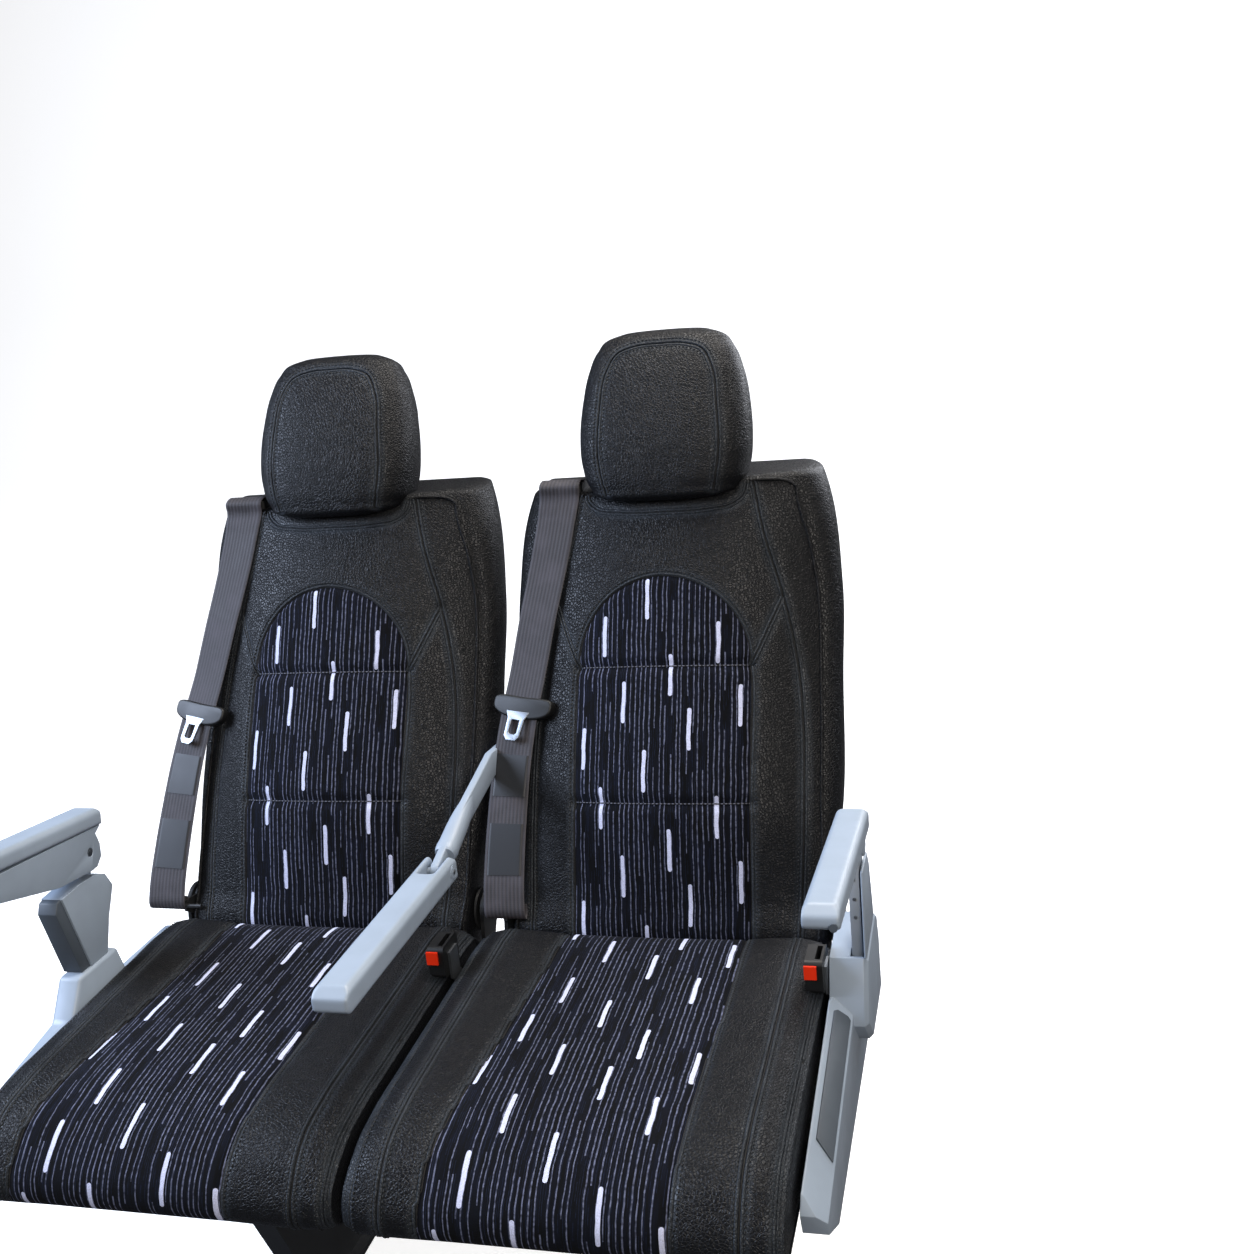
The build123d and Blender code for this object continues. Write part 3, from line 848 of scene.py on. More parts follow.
    def place(self, spots: np.ndarray, lift: float) -> np.ndarray:
        """Find points of the cloth's plane on the finished cover.

        Args:
            spots: Points across and along the cloth.
            lift: How far above the cover they lie.

        Returns:
            Points in space.
        """
        on_face = self.face > 0.5
        u, v = np.where(on_face, self.u, 9.0), np.where(on_face, self.v, 9.0)
        normals = self.normals()
        out = []
        for a, b in spots:
            r, c = np.unravel_index(np.argmin((u - a) ** 2 + (v - b) ** 2), u.shape)
            r2 = min(max(r, 1), u.shape[0] - 2)
            right, left = (c + 1) % u.shape[1], (c - 1) % u.shape[1]
            du, dv = self.u[r, right] - self.u[r, left], self.v[r2 + 1, c] - self.v[r2 - 1, c]
            step_u = (self.grid[r, right] - self.grid[r, left]) / du if abs(du) > 1e-6 else 0
            step_v = (self.grid[r2 + 1, c] - self.grid[r2 - 1, c]) / dv if abs(dv) > 1e-6 else 0
            spot = self.grid[r, c] + np.clip(a - self.u[r, c], -.004, .004) * step_u \
                + np.clip(b - self.v[r, c], -.004, .004) * step_v
            out.append(spot + normals[r, c] * lift)
        return np.array(out)

    def to_piece(self, name: str, material: bpy.types.Material, insert: np.ndarray,
                 painted_highlight: np.ndarray) -> bpy.types.Object:
        """Make the piece with its cloth coordinates and its two masks.

        Args:
            name: Name of the piece.
            material: Its finish.
            insert: Above 0.5 on the patterned insert.
            painted_highlight: 1 where the hide carries painted highlight.

        Returns:
            The finished object.
        """
        mesh = self.mesh(name)
        for label, values in (("insert", insert), ("painted_highlight", painted_highlight)):
            layer = mesh.attributes.new(label, "FLOAT", "POINT")
            layer.data.foreach_set("value", values.reshape(-1).astype(np.float32))
        corners = np.empty(len(mesh.loops), dtype=np.int32)
        mesh.loops.foreach_get("vertex_index", corners)
        uv = mesh.uv_layers.new(name="cloth")
        pairs = np.column_stack([self.u.reshape(-1)[corners], self.v.reshape(-1)[corners]])
        uv.data.foreach_set("uv", pairs.reshape(-1).astype(np.float32))
        mesh.shade_smooth()
        return new_object(name, mesh, material)


@dataclass
class RingStack:
    """A cover's rings while it is built, each with its place on the cloth and its share of face."""

    rings: list[tuple[np.ndarray, ...]] = field(default_factory=list)

    def add(self, *ring: np.ndarray, first: bool = False) -> None:
        """Add a ring at one end.

        Args:
            ring: Its points, across, along and share of face.
            first: Put it before the others.
        """
        self.rings.insert(0 if first else len(self.rings), ring)

    def skin(self, seat: Seat, leaning: bool) -> SoftSkin:
        """Close the stack into a cover.

        Args:
            seat: The place that it belongs to.
            leaning: The points are across, height and forward on the leaning back.

        Returns:
            The cover in the seat's place.
        """
        grid, u, v, face = (np.array(part) for part in zip(*self.rings))
        if leaning:
            grid = on_back(seat, grid[..., 0], grid[..., 1], grid[..., 2])
        else:
            grid[..., 0] += seat.centre_x
        return SoftSkin(grid, u, v, face)


# Geometry Nodes

@dataclass
class PieceTree:
    """A tree that sets one small piece on many places: named inputs, one real mesh out."""

    group: bpy.types.GeometryNodeTree = field(init=False)
    sockets: dict[str, str] = field(init=False, default_factory=dict)

    def add(self, kind: str, inputs: Mapping[Any, Any] | None = None, **settings: Any) -> bpy.types.Node:
        """Add one node, as add_node does."""
        return add_node(self.group, kind, inputs or {}, settings)

    def start(self, name: str, inputs: Sequence[tuple[str, str, Any]]) -> Mapping[str, bpy.types.NodeSocket]:
        """Start the tree with its named inputs.

        Args:
            name: Name of the tree.
            inputs: Name, kind and value of each input after the geometry.

        Returns:
            The inputs' sockets inside the tree.
        """
        self.group = bpy.data.node_groups.new(name, "GeometryNodeTree")
        face = self.group.interface
        face.new_socket("Geometry", in_out="INPUT", socket_type="NodeSocketGeometry")
        for label, kind, value in inputs:
            socket = face.new_socket(label, in_out="INPUT", socket_type=f"NodeSocket{kind}")
            if value is not None:
                socket.default_value = value
            self.sockets[label] = socket.identifier
        face.new_socket("Geometry", in_out="OUTPUT", socket_type="NodeSocketGeometry")
        return self.add("NodeGroupInput").outputs

    def random(self, data_type: str, low: Any, high: Any, seed: bpy.types.NodeSocket) -> bpy.types.NodeSocket:
        """Add a random value between two limits, from the tree's fixed seed."""
        node = self.add("FunctionNodeRandomValue", {"Seed": seed}, data_type=data_type)
        kind = "VALUE" if data_type == "FLOAT" else "VECTOR"
        limits = [socket for socket in node.inputs if socket.name in ("Min", "Max") and socket.type == kind]
        for socket, value in zip(limits, (low, high)):
            socket.default_value = value
        return next(socket for socket in node.outputs if socket.type == kind)

    def finish(self, points: Any, piece: Any, turn: Any, size: Sequence[Any], material: Any) -> None:
        """Set the piece on the points, realize it and give it its material.

        Args:
            points: Socket with the points.
            piece: Socket with the piece.
            turn: Socket with its rotation.
            size: Sockets with its three sizes.
            material: Socket with the material.
        """
        scale = self.add("ShaderNodeCombineXYZ", dict(enumerate(size)))
        laid = self.add("GeometryNodeInstanceOnPoints", {
            "Points": points, "Instance": piece, "Rotation": turn, "Scale": scale.outputs[0]})
        real = self.add("GeometryNodeRealizeInstances", {0: laid.outputs[0]})
        dressed = self.add("GeometryNodeSetMaterial", {"Geometry": real.outputs[0], "Material": material})
        self.add("NodeGroupOutput", {0: dressed.outputs[0]})

    def run(self, name: str, guide: bpy.types.ID, values: Mapping[str, Any]) -> bpy.types.Mesh:
        """Run the tree on a curve or mesh.

        Args:
            name: Name of the piece.
            guide: The curve or mesh that carries the places.
            values: The named inputs to set.

        Returns:
            One plain mesh.
        """
        holder = linked(name + "_guide", guide)
        modifier = holder.modifiers.new("pieces", "NODES")
        modifier.node_group = self.group
        for key, value in values.items():
            modifier[self.sockets[key]] = value
        return plain_mesh(holder)


@dataclass
class StitchTree(PieceTree):
    """Stitches along curves."""

    def __post_init__(self) -> None:
        """Build the tree: a bead at every pitch, of slightly uneven length."""
        inputs = self.start("stitches_along_a_seam", (
            ("Pitch", "Float", 0.005), ("Length", "Float", 0.0036), ("Thickness", "Float", THREAD),
            ("Seed", "Int", 7), ("Thread", "Material", None)))
        spaced = self.add("GeometryNodeResampleCurve", {"Curve": inputs["Geometry"], "Length": inputs["Pitch"]},
                          mode="LENGTH")
        bead = self.add("GeometryNodeMeshUVSphere", {"Segments": 6, "Rings": 4, "Radius": 0.5})
        tangent = self.add("GeometryNodeInputTangent").outputs[0]
        turn = self.add("FunctionNodeAlignRotationToVector", {"Vector": tangent}, axis="Z")
        uneven = self.random("FLOAT", 0.88, 1.08, inputs["Seed"])
        long = self.add("ShaderNodeMath", {0: inputs["Length"], 1: uneven}, operation="MULTIPLY").outputs[0]
        self.finish(spaced.outputs[0], bead.outputs["Mesh"], turn.outputs[0],
                    (inputs["Thickness"], inputs["Thickness"], long), inputs["Thread"])

    def sew(self, name: str, rows: Sequence[np.ndarray], thread: bpy.types.Material) -> bpy.types.Object:
        """Lay stitches along rows of points.

        Args:
            name: Name of the piece.
            rows: Points of each row on the cover.
            thread: The thread's finish.

        Returns:
            One object with a plain mesh.
        """
        mesh = self.run(name, poly_curve(name, rows), {"Thread": thread})
        mesh.shade_smooth()
        return new_object(name, mesh, thread)


@dataclass
class ScrewTree(PieceTree):
    """Screw heads on the points of a mesh, turned by each point's aim."""

    def __post_init__(self) -> None:
        """Build the tree: a head of two stepped discs, like a low dome, with a raised six-sided knob on top."""
        inputs = self.start("screw_heads_on_points", (
            ("Radius", "Float", 0.003), ("Height", "Float", 0.0012), ("Seed", "Int", 3),
            ("Finish", "Material", None)))
        joined = self.add("GeometryNodeJoinGeometry")
        for sides, wide, tall, rise in ((24, 1.0, 1.0, 0.0), (24, 0.82, 0.5, 0.62), (6, 0.42, 0.2, 1.06)):
            disc = self.add("GeometryNodeMeshCylinder", {"Vertices": sides, "Radius": wide, "Depth": tall})
            moved = self.add("GeometryNodeTransform", {"Geometry": disc.outputs["Mesh"], "Translation": (0, 0, rise)})
            self.group.links.new(moved.outputs[0], joined.inputs[0])
        aim = self.add("GeometryNodeInputNamedAttribute", {"Name": "aim"}, data_type="FLOAT_VECTOR").outputs[0]
        turn = self.add("FunctionNodeAlignRotationToVector", {"Vector": aim}, axis="Z").outputs[0]
        spin = self.random("FLOAT_VECTOR", (0, 0, 0), (0, 0, 1.0), inputs["Seed"])
        own = self.add("FunctionNodeRotateRotation", {0: turn, 1: spin}, rotation_space="LOCAL")
        self.finish(inputs["Geometry"], joined.outputs[0], own.outputs[0],
                    (inputs["Radius"], inputs["Radius"], inputs["Height"]), inputs["Finish"])

    def place(self, name: str, spots: Sequence[tuple[Sequence[float], Sequence[float]]], radius: float,
              height: float, finish: bpy.types.Material) -> bpy.types.Object:
        """Set heads at places.

        Args:
            name: Name of the piece.
            spots: Place and aim of each head.
            radius: Radius of a head.
            height: How far it stands proud.
            finish: Its finish.

        Returns:
            One object with a plain mesh.
        """
        points = bpy.data.meshes.new(name + "_points")
        points.from_pydata([place for place, _ in spots], [], [])
        aims = np.array([aim for _, aim in spots], dtype=np.float32)
        points.attributes.new("aim", "FLOAT_VECTOR", "POINT").data.foreach_set("vector", aims.reshape(-1))
        mesh = self.run(name, points, {"Radius": radius, "Height": height, "Finish": finish})
        return new_object(name, mesh, finish)


def corded(name: str, paths: Sequence[np.ndarray], radius: float, material: bpy.types.Material,
           painted_highlight: float = 0.0) -> bpy.types.Object:
    """Make round cords along paths, as one plain mesh.

    Args:
        name: Name of the piece.
        paths: Points of each cord's middle.
        radius: Radius of the cords.
        material: Their finish.
        painted_highlight: How much painted highlight the leather carries.

    Returns:
        The piece.
    """
    curve = poly_curve(name, paths)
    curve.bevel_depth, curve.bevel_resolution, curve.use_fill_caps = radius, 2, True
    mesh = plain_mesh(linked(name + "_guide", curve))
    mesh.shade_smooth()
    if painted_highlight:
        mesh.attributes.new("painted_highlight", "FLOAT", "POINT").data.foreach_set("value", np.full(len(mesh.vertices), painted_highlight))
    return new_object(name, mesh, material)


# Sewn pieces

def finish_sewing(name: str, skin: SoftSkin, seams: Sequence[Seam], body: str, wardrobe: Wardrobe,
                  stitches: StitchTree) -> None:
    """Add near-black cords along the seams of a cover, painted shade in the seams' creases, and the stitches beside
    them.

    Args:
        name: Start of the pieces' names.
        skin: The finished cover.
        seams: Its sewn lines.
        body: The body that it rides on.
        wardrobe: The finishes.
        stitches: The stitch tree.
    """
    # Near-black cords on the seam lines stand in for the shade in the seams' creases
    shade_cords = [skin.place(seam.row(0.0), 0.0001) for seam in seams]
    seat_piece(corded(f"{name}_seam_shade_cords", shade_cords, 0.0009, wardrobe.seam_shade), body, Slot.LEATHER)
    # The fold ridges beside each seam are painted fully in the highlight colour
    folds = [skin.place(seam.row(offset), 0.0003) for seam in seams for offset in seam.folds]
    seat_piece(corded(f"{name}_seam_folds", folds, 0.0019, wardrobe.upholstery, 1.0), body, Slot.LEATHER)
    for word, thread, chosen in (("stitches", wardrobe.thread, [s for s in seams if s.folds]),
                                 ("cloth_stitches", wardrobe.pale_thread, [s for s in seams if not s.folds])):
        rows = [skin.place(seam.row(offset), 0.0006) for seam in chosen for offset in seam.stitch_rows]
        if rows:
            seat_piece(stitches.sew(f"{name}_{word}", rows, thread), body, Slot.LEATHER)


@dataclass
class BackPad:
    """The back cushion of one place: bolsters, arched insert, headrest well, piped edges.

    Attributes:
        seat: Which place.
        rows: Height, front at the middle, front at the piping, half width there, widest half width, rear.
        waist: Height of the upper sewn channel, where the insert's arch starts.
        channel: Height of the lower sewn channel.
        arch: Rise of the insert's arch.
        raised: How far the shoulders stand above the last row.
        face_columns: Grid columns over the face.
        side_columns: Grid columns over each side.
        rear_columns: Grid columns over the rear.
    """

    seat: Seat
    rows: tuple[tuple[float, ...], ...] = (
        (-0.056, 0.030, 0.020, 0.189, 0.202, -0.027),
        (-0.030, 0.056, 0.040, 0.193, 0.203, -0.050),
        (0.025, 0.065, 0.031, 0.197, 0.203, -0.060),
        (0.142, 0.075, 0.014, 0.196, 0.219, -0.073),
        (0.303, 0.055, -0.012, 0.195, 0.220, -0.085),
        (0.420, 0.041, -0.020, 0.191, 0.221, -0.091),
        (0.497, 0.031, -0.013, 0.177, 0.212, -0.096),
        (0.545, 0.022, -0.009, 0.164, 0.193, -0.100),
        (0.600, 0.012, -0.012, 0.152, 0.166, -0.103),
    )
    waist: float = 0.314
    channel: float = 0.144
    arch: float = 0.115
    raised: float = 0.016
    face_columns: int = 66
    side_columns: int = 16
    rear_columns: int = 20

    def seams(self) -> list[Seam]:
        """The sewn lines of the face."""
        arch = tuple((INSERT_HALF * math.cos(a), self.waist + self.arch * math.sin(a))
                     for a in np.linspace(0, math.pi, 17))
        outline = ((INSERT_HALF, -0.045), (INSERT_HALF, 0.15), *arch, (-INSERT_HALF, 0.15), (-INSERT_HALF, -0.045))
        lines = [Seam(outline, 0.0032, 0.0042, (-0.0060,), (-0.0022,))]
        for height in (self.waist, self.channel):
            lines.append(Seam(((-INSERT_HALF, height), (INSERT_HALF, height)), 0.0036, 0.0065, (0.0,), ()))
        for side in (-1, 1):
            lines.append(Seam(tuple((side * x, s) for x, s in (
                (0.114, 0.548), (0.129, 0.475), (0.151, 0.398), (0.168, 0.310), (0.174, 0.235), (0.175, 0.140),
                (0.173, 0.040), (0.170, -0.030))), 0.0022, 0.0038))
            slanting = ((side * INSERT_HALF, self.waist), (side * 0.150, 0.400))
            lines.append(Seam(slanting, 0.0022, 0.0038, (), FOLD_RUN))
        well = ((-0.106, 0.545), (-0.103, 0.532), (-0.090, 0.520), (-0.06, 0.5135), (0.0, 0.511), (0.06, 0.5135),
                (0.090, 0.520), (0.103, 0.532), (0.106, 0.545))
        lines.append(Seam(well, 0.0026, 0.004, (), FOLD_RUN))
        return lines

    def section(self, row: np.ndarray) -> tuple[np.ndarray, np.ndarray, np.ndarray]:
        """One ring of the cover.

        Args:
            row: The table's columns after the height.

        Returns:
            Across, forward, and the share of face, for each column.
        """
        middle, edge, face_w, wide_w, rear = row
        x = np.linspace(-face_w, face_w, self.face_columns)
        t = middle - (middle - edge) * (x / face_w) ** 2
        part = np.linspace(0, 1, self.side_columns + 2)[1:-1]
        corners = np.array([(face_w, edge), (wide_w + 0.004, edge - 0.006), (wide_w + 0.002, rear + 0.022),
                            (wide_w - 0.016, rear)])
        weights = np.stack([(1 - part) ** 3, 3 * part * (1 - part) ** 2, 3 * part ** 2 * (1 - part), part ** 3])
        side = weights.T @ corners
        rx = np.linspace(wide_w - 0.016, -wide_w + 0.016, self.rear_columns)
        across = np.concatenate([x, side[:, 0], rx, -side[::-1, 0]])
        forward = np.concatenate([t, side[:, 1], np.full(len(rx), rear), side[::-1, 1]])
        face = np.concatenate([np.ones(len(x)), np.zeros(len(across) - len(x))])
        return across, forward, face

    def skin(self) -> SoftSkin:
        """The cover before any simulation."""
        heights = np.concatenate([np.linspace(-0.056, -0.03, 7), np.linspace(-0.024, 0.534, 88)])
        slant = math.tan(LEAN)
        stack = RingStack()
        for height, row in zip(heights, hermite(np.array(self.rows), heights)):
            across, forward, face = self.section(row)
            shoulder = smooth_step(0.44, 0.534, height)
            lift = self.raised * (0.35 + 0.65 * smooth_step(-0.105, -0.05, across)) * shoulder
            tall = height - shoulder * slant * forward + lift
            well = smooth_step(0.510, 0.540, tall) * (1 - smooth_step(0.088, 0.108, np.abs(across)))
            forward = forward - 0.005 * well * face
            stack.add(np.stack([across, tall, forward], axis=-1), across, tall, face)
        last, across, along, _ = stack.rings[-1]
        plane = (0, 2)
        for inset, rise in ((0.02, 0.003), (0.06, 0.006), (0.13, 0.0075), (0.3, 0.0075), (0.6, 0.0075),
                            (0.85, 0.0075)):
            ring = last.copy()
            ring[:, plane] += (last.mean(axis=0)[[0, 2]] - ring[:, plane]) * inset
            ring[:, 1] = last[:, 1] - slant * (ring[:, 2] - last[:, 2]) + rise
            along = along + 0.006
            stack.add(ring, across, along, np.zeros(len(ring)))
        base, across, along, _ = stack.rings[0]
        for inset in (0.06, 0.2, 0.5, 0.85):
            ring = base.copy()
            ring[:, plane] += (base.mean(axis=0)[[0, 2]] - ring[:, plane]) * inset
            ring[:, 1] -= 0.001 if inset > 0.1 else 0.0005
            stack.add(ring, across, along, np.zeros(len(ring)), first=True)
        return stack.skin(self.seat, leaning=True)

    def insert_mask(self, skin: SoftSkin) -> np.ndarray:
        """Above 0.5 on the arched insert."""
        arch = np.sqrt(np.clip(1 - (np.abs(skin.u) / INSERT_HALF) ** 2, 0, 1)) * self.arch + self.waist
        inside = np.minimum(INSERT_HALF - np.abs(skin.u), arch - skin.v)
        return np.where(skin.face > 0.5, 0.5 + 20 * np.clip(inside, -0.02, 0.02), 0.1)

    def make(self, wardrobe: Wardrobe, stitches: StitchTree) -> None:
        """Build, puff, sew and dress the back pad.

        Args:
            wardrobe: The finishes.
            stitches: The stitch tree.
        """
        name = self.seat.value
        skin, seams = self.skin(), self.seams()
        edge = np.abs(skin.u) / np.abs(skin.u).max(axis=1)[:, None]
        held = np.maximum(skin.hold(seams, 1 - skin.face), smooth_step(0.83, 0.9, edge))
        skin.inflate(held, 0.006)
        skin.refine()
        skin.sew(seams)
        piece = skin.to_piece(f"{name}_back_cover", wardrobe.upholstery, self.insert_mask(skin), skin.wear_and_highlight(seams))
        seat_piece(piece, self.seat.back_body, Slot.LEATHER, [f"{name}_back_pad"])
        finish_sewing(f"{name}_back", skin, seams, self.seat.back_body, wardrobe, stitches)
        self.piping(skin, wardrobe)

    def piping(self, skin: SoftSkin, wardrobe: Wardrobe) -> None:
        """Lay a leather welt along both edges of the face and inward over the shoulders.

        Args:
            skin: The finished cover.
            wardrobe: The finishes.
        """
        table = np.array(self.rows)
        for side, word in ((-1, "left"), (1, "right")):
            edge = [(side * (hermite(table, np.array([h]))[0, 2] - 0.0015), h) for h in np.linspace(-0.03, 0.527, 60)]
            corner = [(side * 0.1660, 0.541), (side * 0.1600, 0.5465), (side * 0.1500, 0.5490),
                      (side * 0.1280, 0.5500), (side * 0.1100, 0.5500)]
            row = Seam(tuple(edge[::6] + [edge[-1]] + corner)).row(0.0)
            name = f"{self.seat.value}_back_piping_{word}"
            piece = corded(name, [skin.place(row, 0.0006)], 0.0023, wardrobe.upholstery)
            seat_piece(piece, self.seat.back_body, Slot.LEATHER)


@dataclass
class Headrest:
    """The head pillow: a rounded block, wider at the bottom, with a stitched front panel."""

    seat: Seat
    rows: tuple[tuple[float, ...], ...] = (
        (0.5200, 0.070, 0.036, -0.036),
        (0.5250, 0.085, 0.045, -0.047),
        (0.5400, 0.0975, 0.0525, -0.055),
        (0.5750, 0.1090, 0.0580, -0.058),
        (0.6150, 0.1120, 0.0580, -0.058),
        (0.6600, 0.1085, 0.0530, -0.056),
        (0.7000, 0.1010, 0.0450, -0.052),
        (0.7280, 0.0900, 0.0340, -0.045),
        (0.7440, 0.0760, 0.0220, -0.036),
        (0.7510, 0.0580, 0.0100, -0.026),
    )
    columns: int = 84

    def seams(self) -> list[Seam]:
        """The stitched line round the front panel."""
        run = ((-0.070, 0.532), (-0.078, 0.575), (-0.0765, 0.64), (-0.070, 0.690), (-0.056, 0.7165),
               (-0.032, 0.7255), (0.0, 0.7270), (0.032, 0.7255), (0.056, 0.7165), (0.070, 0.690), (0.0765, 0.64),
               (0.078, 0.575), (0.070, 0.532))
        return [Seam(run, 0.0026, 0.0036)]

    def skin(self) -> SoftSkin:
        """The pillow before any simulation."""
        heights = np.concatenate([np.linspace(0.520, 0.540, 8), np.linspace(0.546, 0.734, 40),
                                  np.linspace(0.738, 0.751, 6)])
        angles = np.arange(self.columns) * 2 * math.pi / self.columns - math.pi / 2
        c, s = squared_circle(angles, 2 / 2.9)
        stack = RingStack()
        for height, (wide, front, rear) in zip(heights, hermite(np.array(self.rows), heights)):
            x = wide * c
            t = (front + rear) / 2 - s * (front - rear) / 2
            low = np.clip((0.60 - height) / 0.085, 0, 1)
            tall = height + (0.018 - t * 0.36) * low ** 2
            stack.add(np.stack([x, tall, t], axis=-1), x, np.full(len(x), height), smooth_step(-0.05, 0.02, t))
        for end, rise in ((0, -0.002), (-1, 0.003)):
            base, across, along, _ = stack.rings[end]
            for inset in (0.12, 0.3, 0.6, 0.85):
                ring = base + (base.mean(axis=0) - base) * inset
                ring[:, 1] += rise * min(1.0, inset * 2)
                stack.add(ring, across, along, np.zeros(len(ring)), first=end == 0)
        return stack.skin(self.seat, leaning=True)

    def make(self, wardrobe: Wardrobe, stitches: StitchTree) -> None:
        """Build, puff, sew and dress the pillow.

        Args:
            wardrobe: The finishes.
            stitches: The stitch tree.
        """
        name = self.seat.value
        skin, seams = self.skin(), self.seams()
        held = np.zeros(skin.u.shape)
        held[:6] = held[-5:] = 1
        skin.inflate(skin.hold(seams, held, 0.012), 0.005)
        skin.refine()
        skin.sew(seams)
        piece = skin.to_piece(f"{name}_head_pillow", wardrobe.upholstery, np.zeros(skin.u.shape),
                              skin.wear_and_highlight(seams))
        seat_piece(piece, self.seat.back_body, Slot.LEATHER, [f"{name}_headrest"])
        finish_sewing(f"{name}_head", skin, seams, self.seat.back_body, wardrobe, stitches)


@dataclass
class SeatCushion:
    """The seat cushion: a box with a waterfall front, raised bolsters and a flaring insert."""

    seat: Seat
    outer: float = 0.2135
    inner: float = 0.2255
    low: float = 0.3856
    rear: float = 0.0535
    over_points: int = 104
    under_points: int = 16
    insert_half: float = 0.112
    insert_from: float = -0.02
    insert_long: float = 0.505
    flare_power: float = 1.4

    @property
    def span(self) -> tuple[float, float]:
        """Left and right side, from the middle of the place."""
        if self.seat is Seat.AISLE:
            return -self.inner, self.outer
        return -self.outer, self.inner

    def profile(self) -> tuple[np.ndarray, np.ndarray]:
        """The side outline, from the rear's foot over the top to the underside.

        Returns:
            Points in Y and Z, and their place along the cloth.
        """
        corners = np.array([
            (self.rear, self.low), (self.rear, 0.420), (self.rear + 0.003, 0.4500), (self.rear + 0.006, 0.4660),
            (self.rear - 0.002, 0.4770), (0.030, 0.4805), (-0.040, 0.4795), (-0.120, 0.4765), (-0.220, 0.4730),
            (-0.300, 0.4690), (-0.348, 0.4590), (-0.378, 0.4410), (-0.3945, 0.4200), (-0.3965, 0.4010),
            (-0.3880, 0.3885), (-0.3740, self.low)])
        steps = run_lengths(corners)
        at = np.linspace(0, steps[-1], self.over_points)
        over = hermite(np.column_stack([steps, corners]), at)
        under = np.column_stack([np.linspace(-0.374, self.rear, self.under_points + 2)[1:-1],
                                 np.full(self.under_points, self.low)])
        start = steps[4]
        along = np.concatenate([start - at, np.full(self.under_points, start - steps[-1] - 0.05)])
        return np.concatenate([over, under]), -along

    def seams(self) -> list[Seam]:
        """The sewn lines of the top, along the cloth from the rear edge forward."""
        left, right = self.span
        lines = []
        for side, edge, flare in ((-1, left, 0.146), (1, right, 0.106)):
            border = tuple(
                (side * (self.insert_half + (flare - self.insert_half) * k ** self.flare_power),
                 self.insert_long * k + self.insert_from) for k in np.linspace(0, 1, 9))
            lines.append(Seam(border, 0.0030, 0.0050, (-side * 0.0060,), (-side * 0.0022,)))
            out = abs(edge)
            for insets, depth, rows in (((0.041, 0.040, 0.040, 0.040), 0.0018, Seam.stitch_rows),
                                        ((0.007, 0.007, 0.007, 0.007), 0.0024, (side * 0.0062,))):
                run = tuple((side * (out - inset), along)
                            for inset, along in zip(insets, (self.insert_from, 0.2, 0.36, self.insert_long)))
                lines.append(Seam(run, depth, 0.004, rows))
        return lines

    def skin(self) -> SoftSkin:
        """The cover before any simulation."""
        outline, along = self.profile()
        left, right = self.span
        middle = np.array([-0.165, 0.432])
        stack = RingStack()
        top = smooth_step(0.425, 0.462, outline[:, 1])
        front = smooth_step(-0.30, -0.38, outline[:, 0])
        face = np.where(np.arange(len(outline)) < self.over_points, 1.0, 0.0)
        for x in np.linspace(left, right, 76):
            gap = min(x - left, right - x)
            bolster = smooth_step(0.0, 0.045, gap) * (1 - smooth_step(0.055, 0.120, gap))
            crown = 0.004 * smooth_step(0.0, 0.03, gap) + 0.0040 * bolster
            pull = 0.006 * (1 - smooth_step(0.0, 0.014, gap))
            ring = outline.copy()
            ring[:, 1] += (crown - pull) * top
            ring[:, 0] += (pull - 0.3 * crown) * front
            across = np.full(len(ring), x)
            stack.add(np.column_stack([across, ring]), across, along, face)
        for end, sign in ((0, -1), (-1, 1)):
            base, across, _, _ = stack.rings[end]
            for share in (0.05, 0.14, 0.28, 0.5, 0.8):
                ring = base.copy()
                ring[:, 1:] += (middle - ring[:, 1:]) * share * np.array([0.32, 0.9])
                ring[:, 0] += sign * (0.0025 * math.sin(min(1.0, share * 1.8) * math.pi / 2) - 0.002)
                stack.add(ring, across + sign * share * 0.05, along, np.zeros(len(ring)), first=end == 0)
        return stack.skin(self.seat, leaning=False)

    def insert_mask(self, skin: SoftSkin) -> np.ndarray:
        """Above 0.5 on the flaring insert."""
        share = np.clip((skin.v - self.insert_from) / self.insert_long, 0, 1) ** self.flare_power
        left, right = self.insert_half + 0.034 * share, self.insert_half - 0.006 * share
        inside = np.minimum(skin.u + left, right - skin.u)
        return np.where(skin.face > 0.5, 0.5 + 20 * np.clip(inside, -0.02, 0.02), 0.1)

    def make(self, wardrobe: Wardrobe, stitches: StitchTree) -> None:
        """Build, puff, sew and dress the cushion.

        Args:
            wardrobe: The finishes.
            stitches: The stitch tree.
        """
        name = self.seat.value
        skin, seams = self.skin(), self.seams()
        underside = 1 - smooth_step(0.39, 0.40, skin.grid[..., 2])
        skin.inflate(np.maximum(skin.hold(seams, 1 - skin.face), underside), 0.007)
        skin.refine()
        skin.sew(seams)
        piece = skin.to_piece(f"{name}_cushion_cover", wardrobe.upholstery, self.insert_mask(skin),
                              skin.wear_and_highlight(seams))
        seat_piece(piece, "frame", Slot.LEATHER, [f"{name}_cushion"])
        finish_sewing(f"{name}_cushion", skin, seams, "frame", wardrobe, stitches)


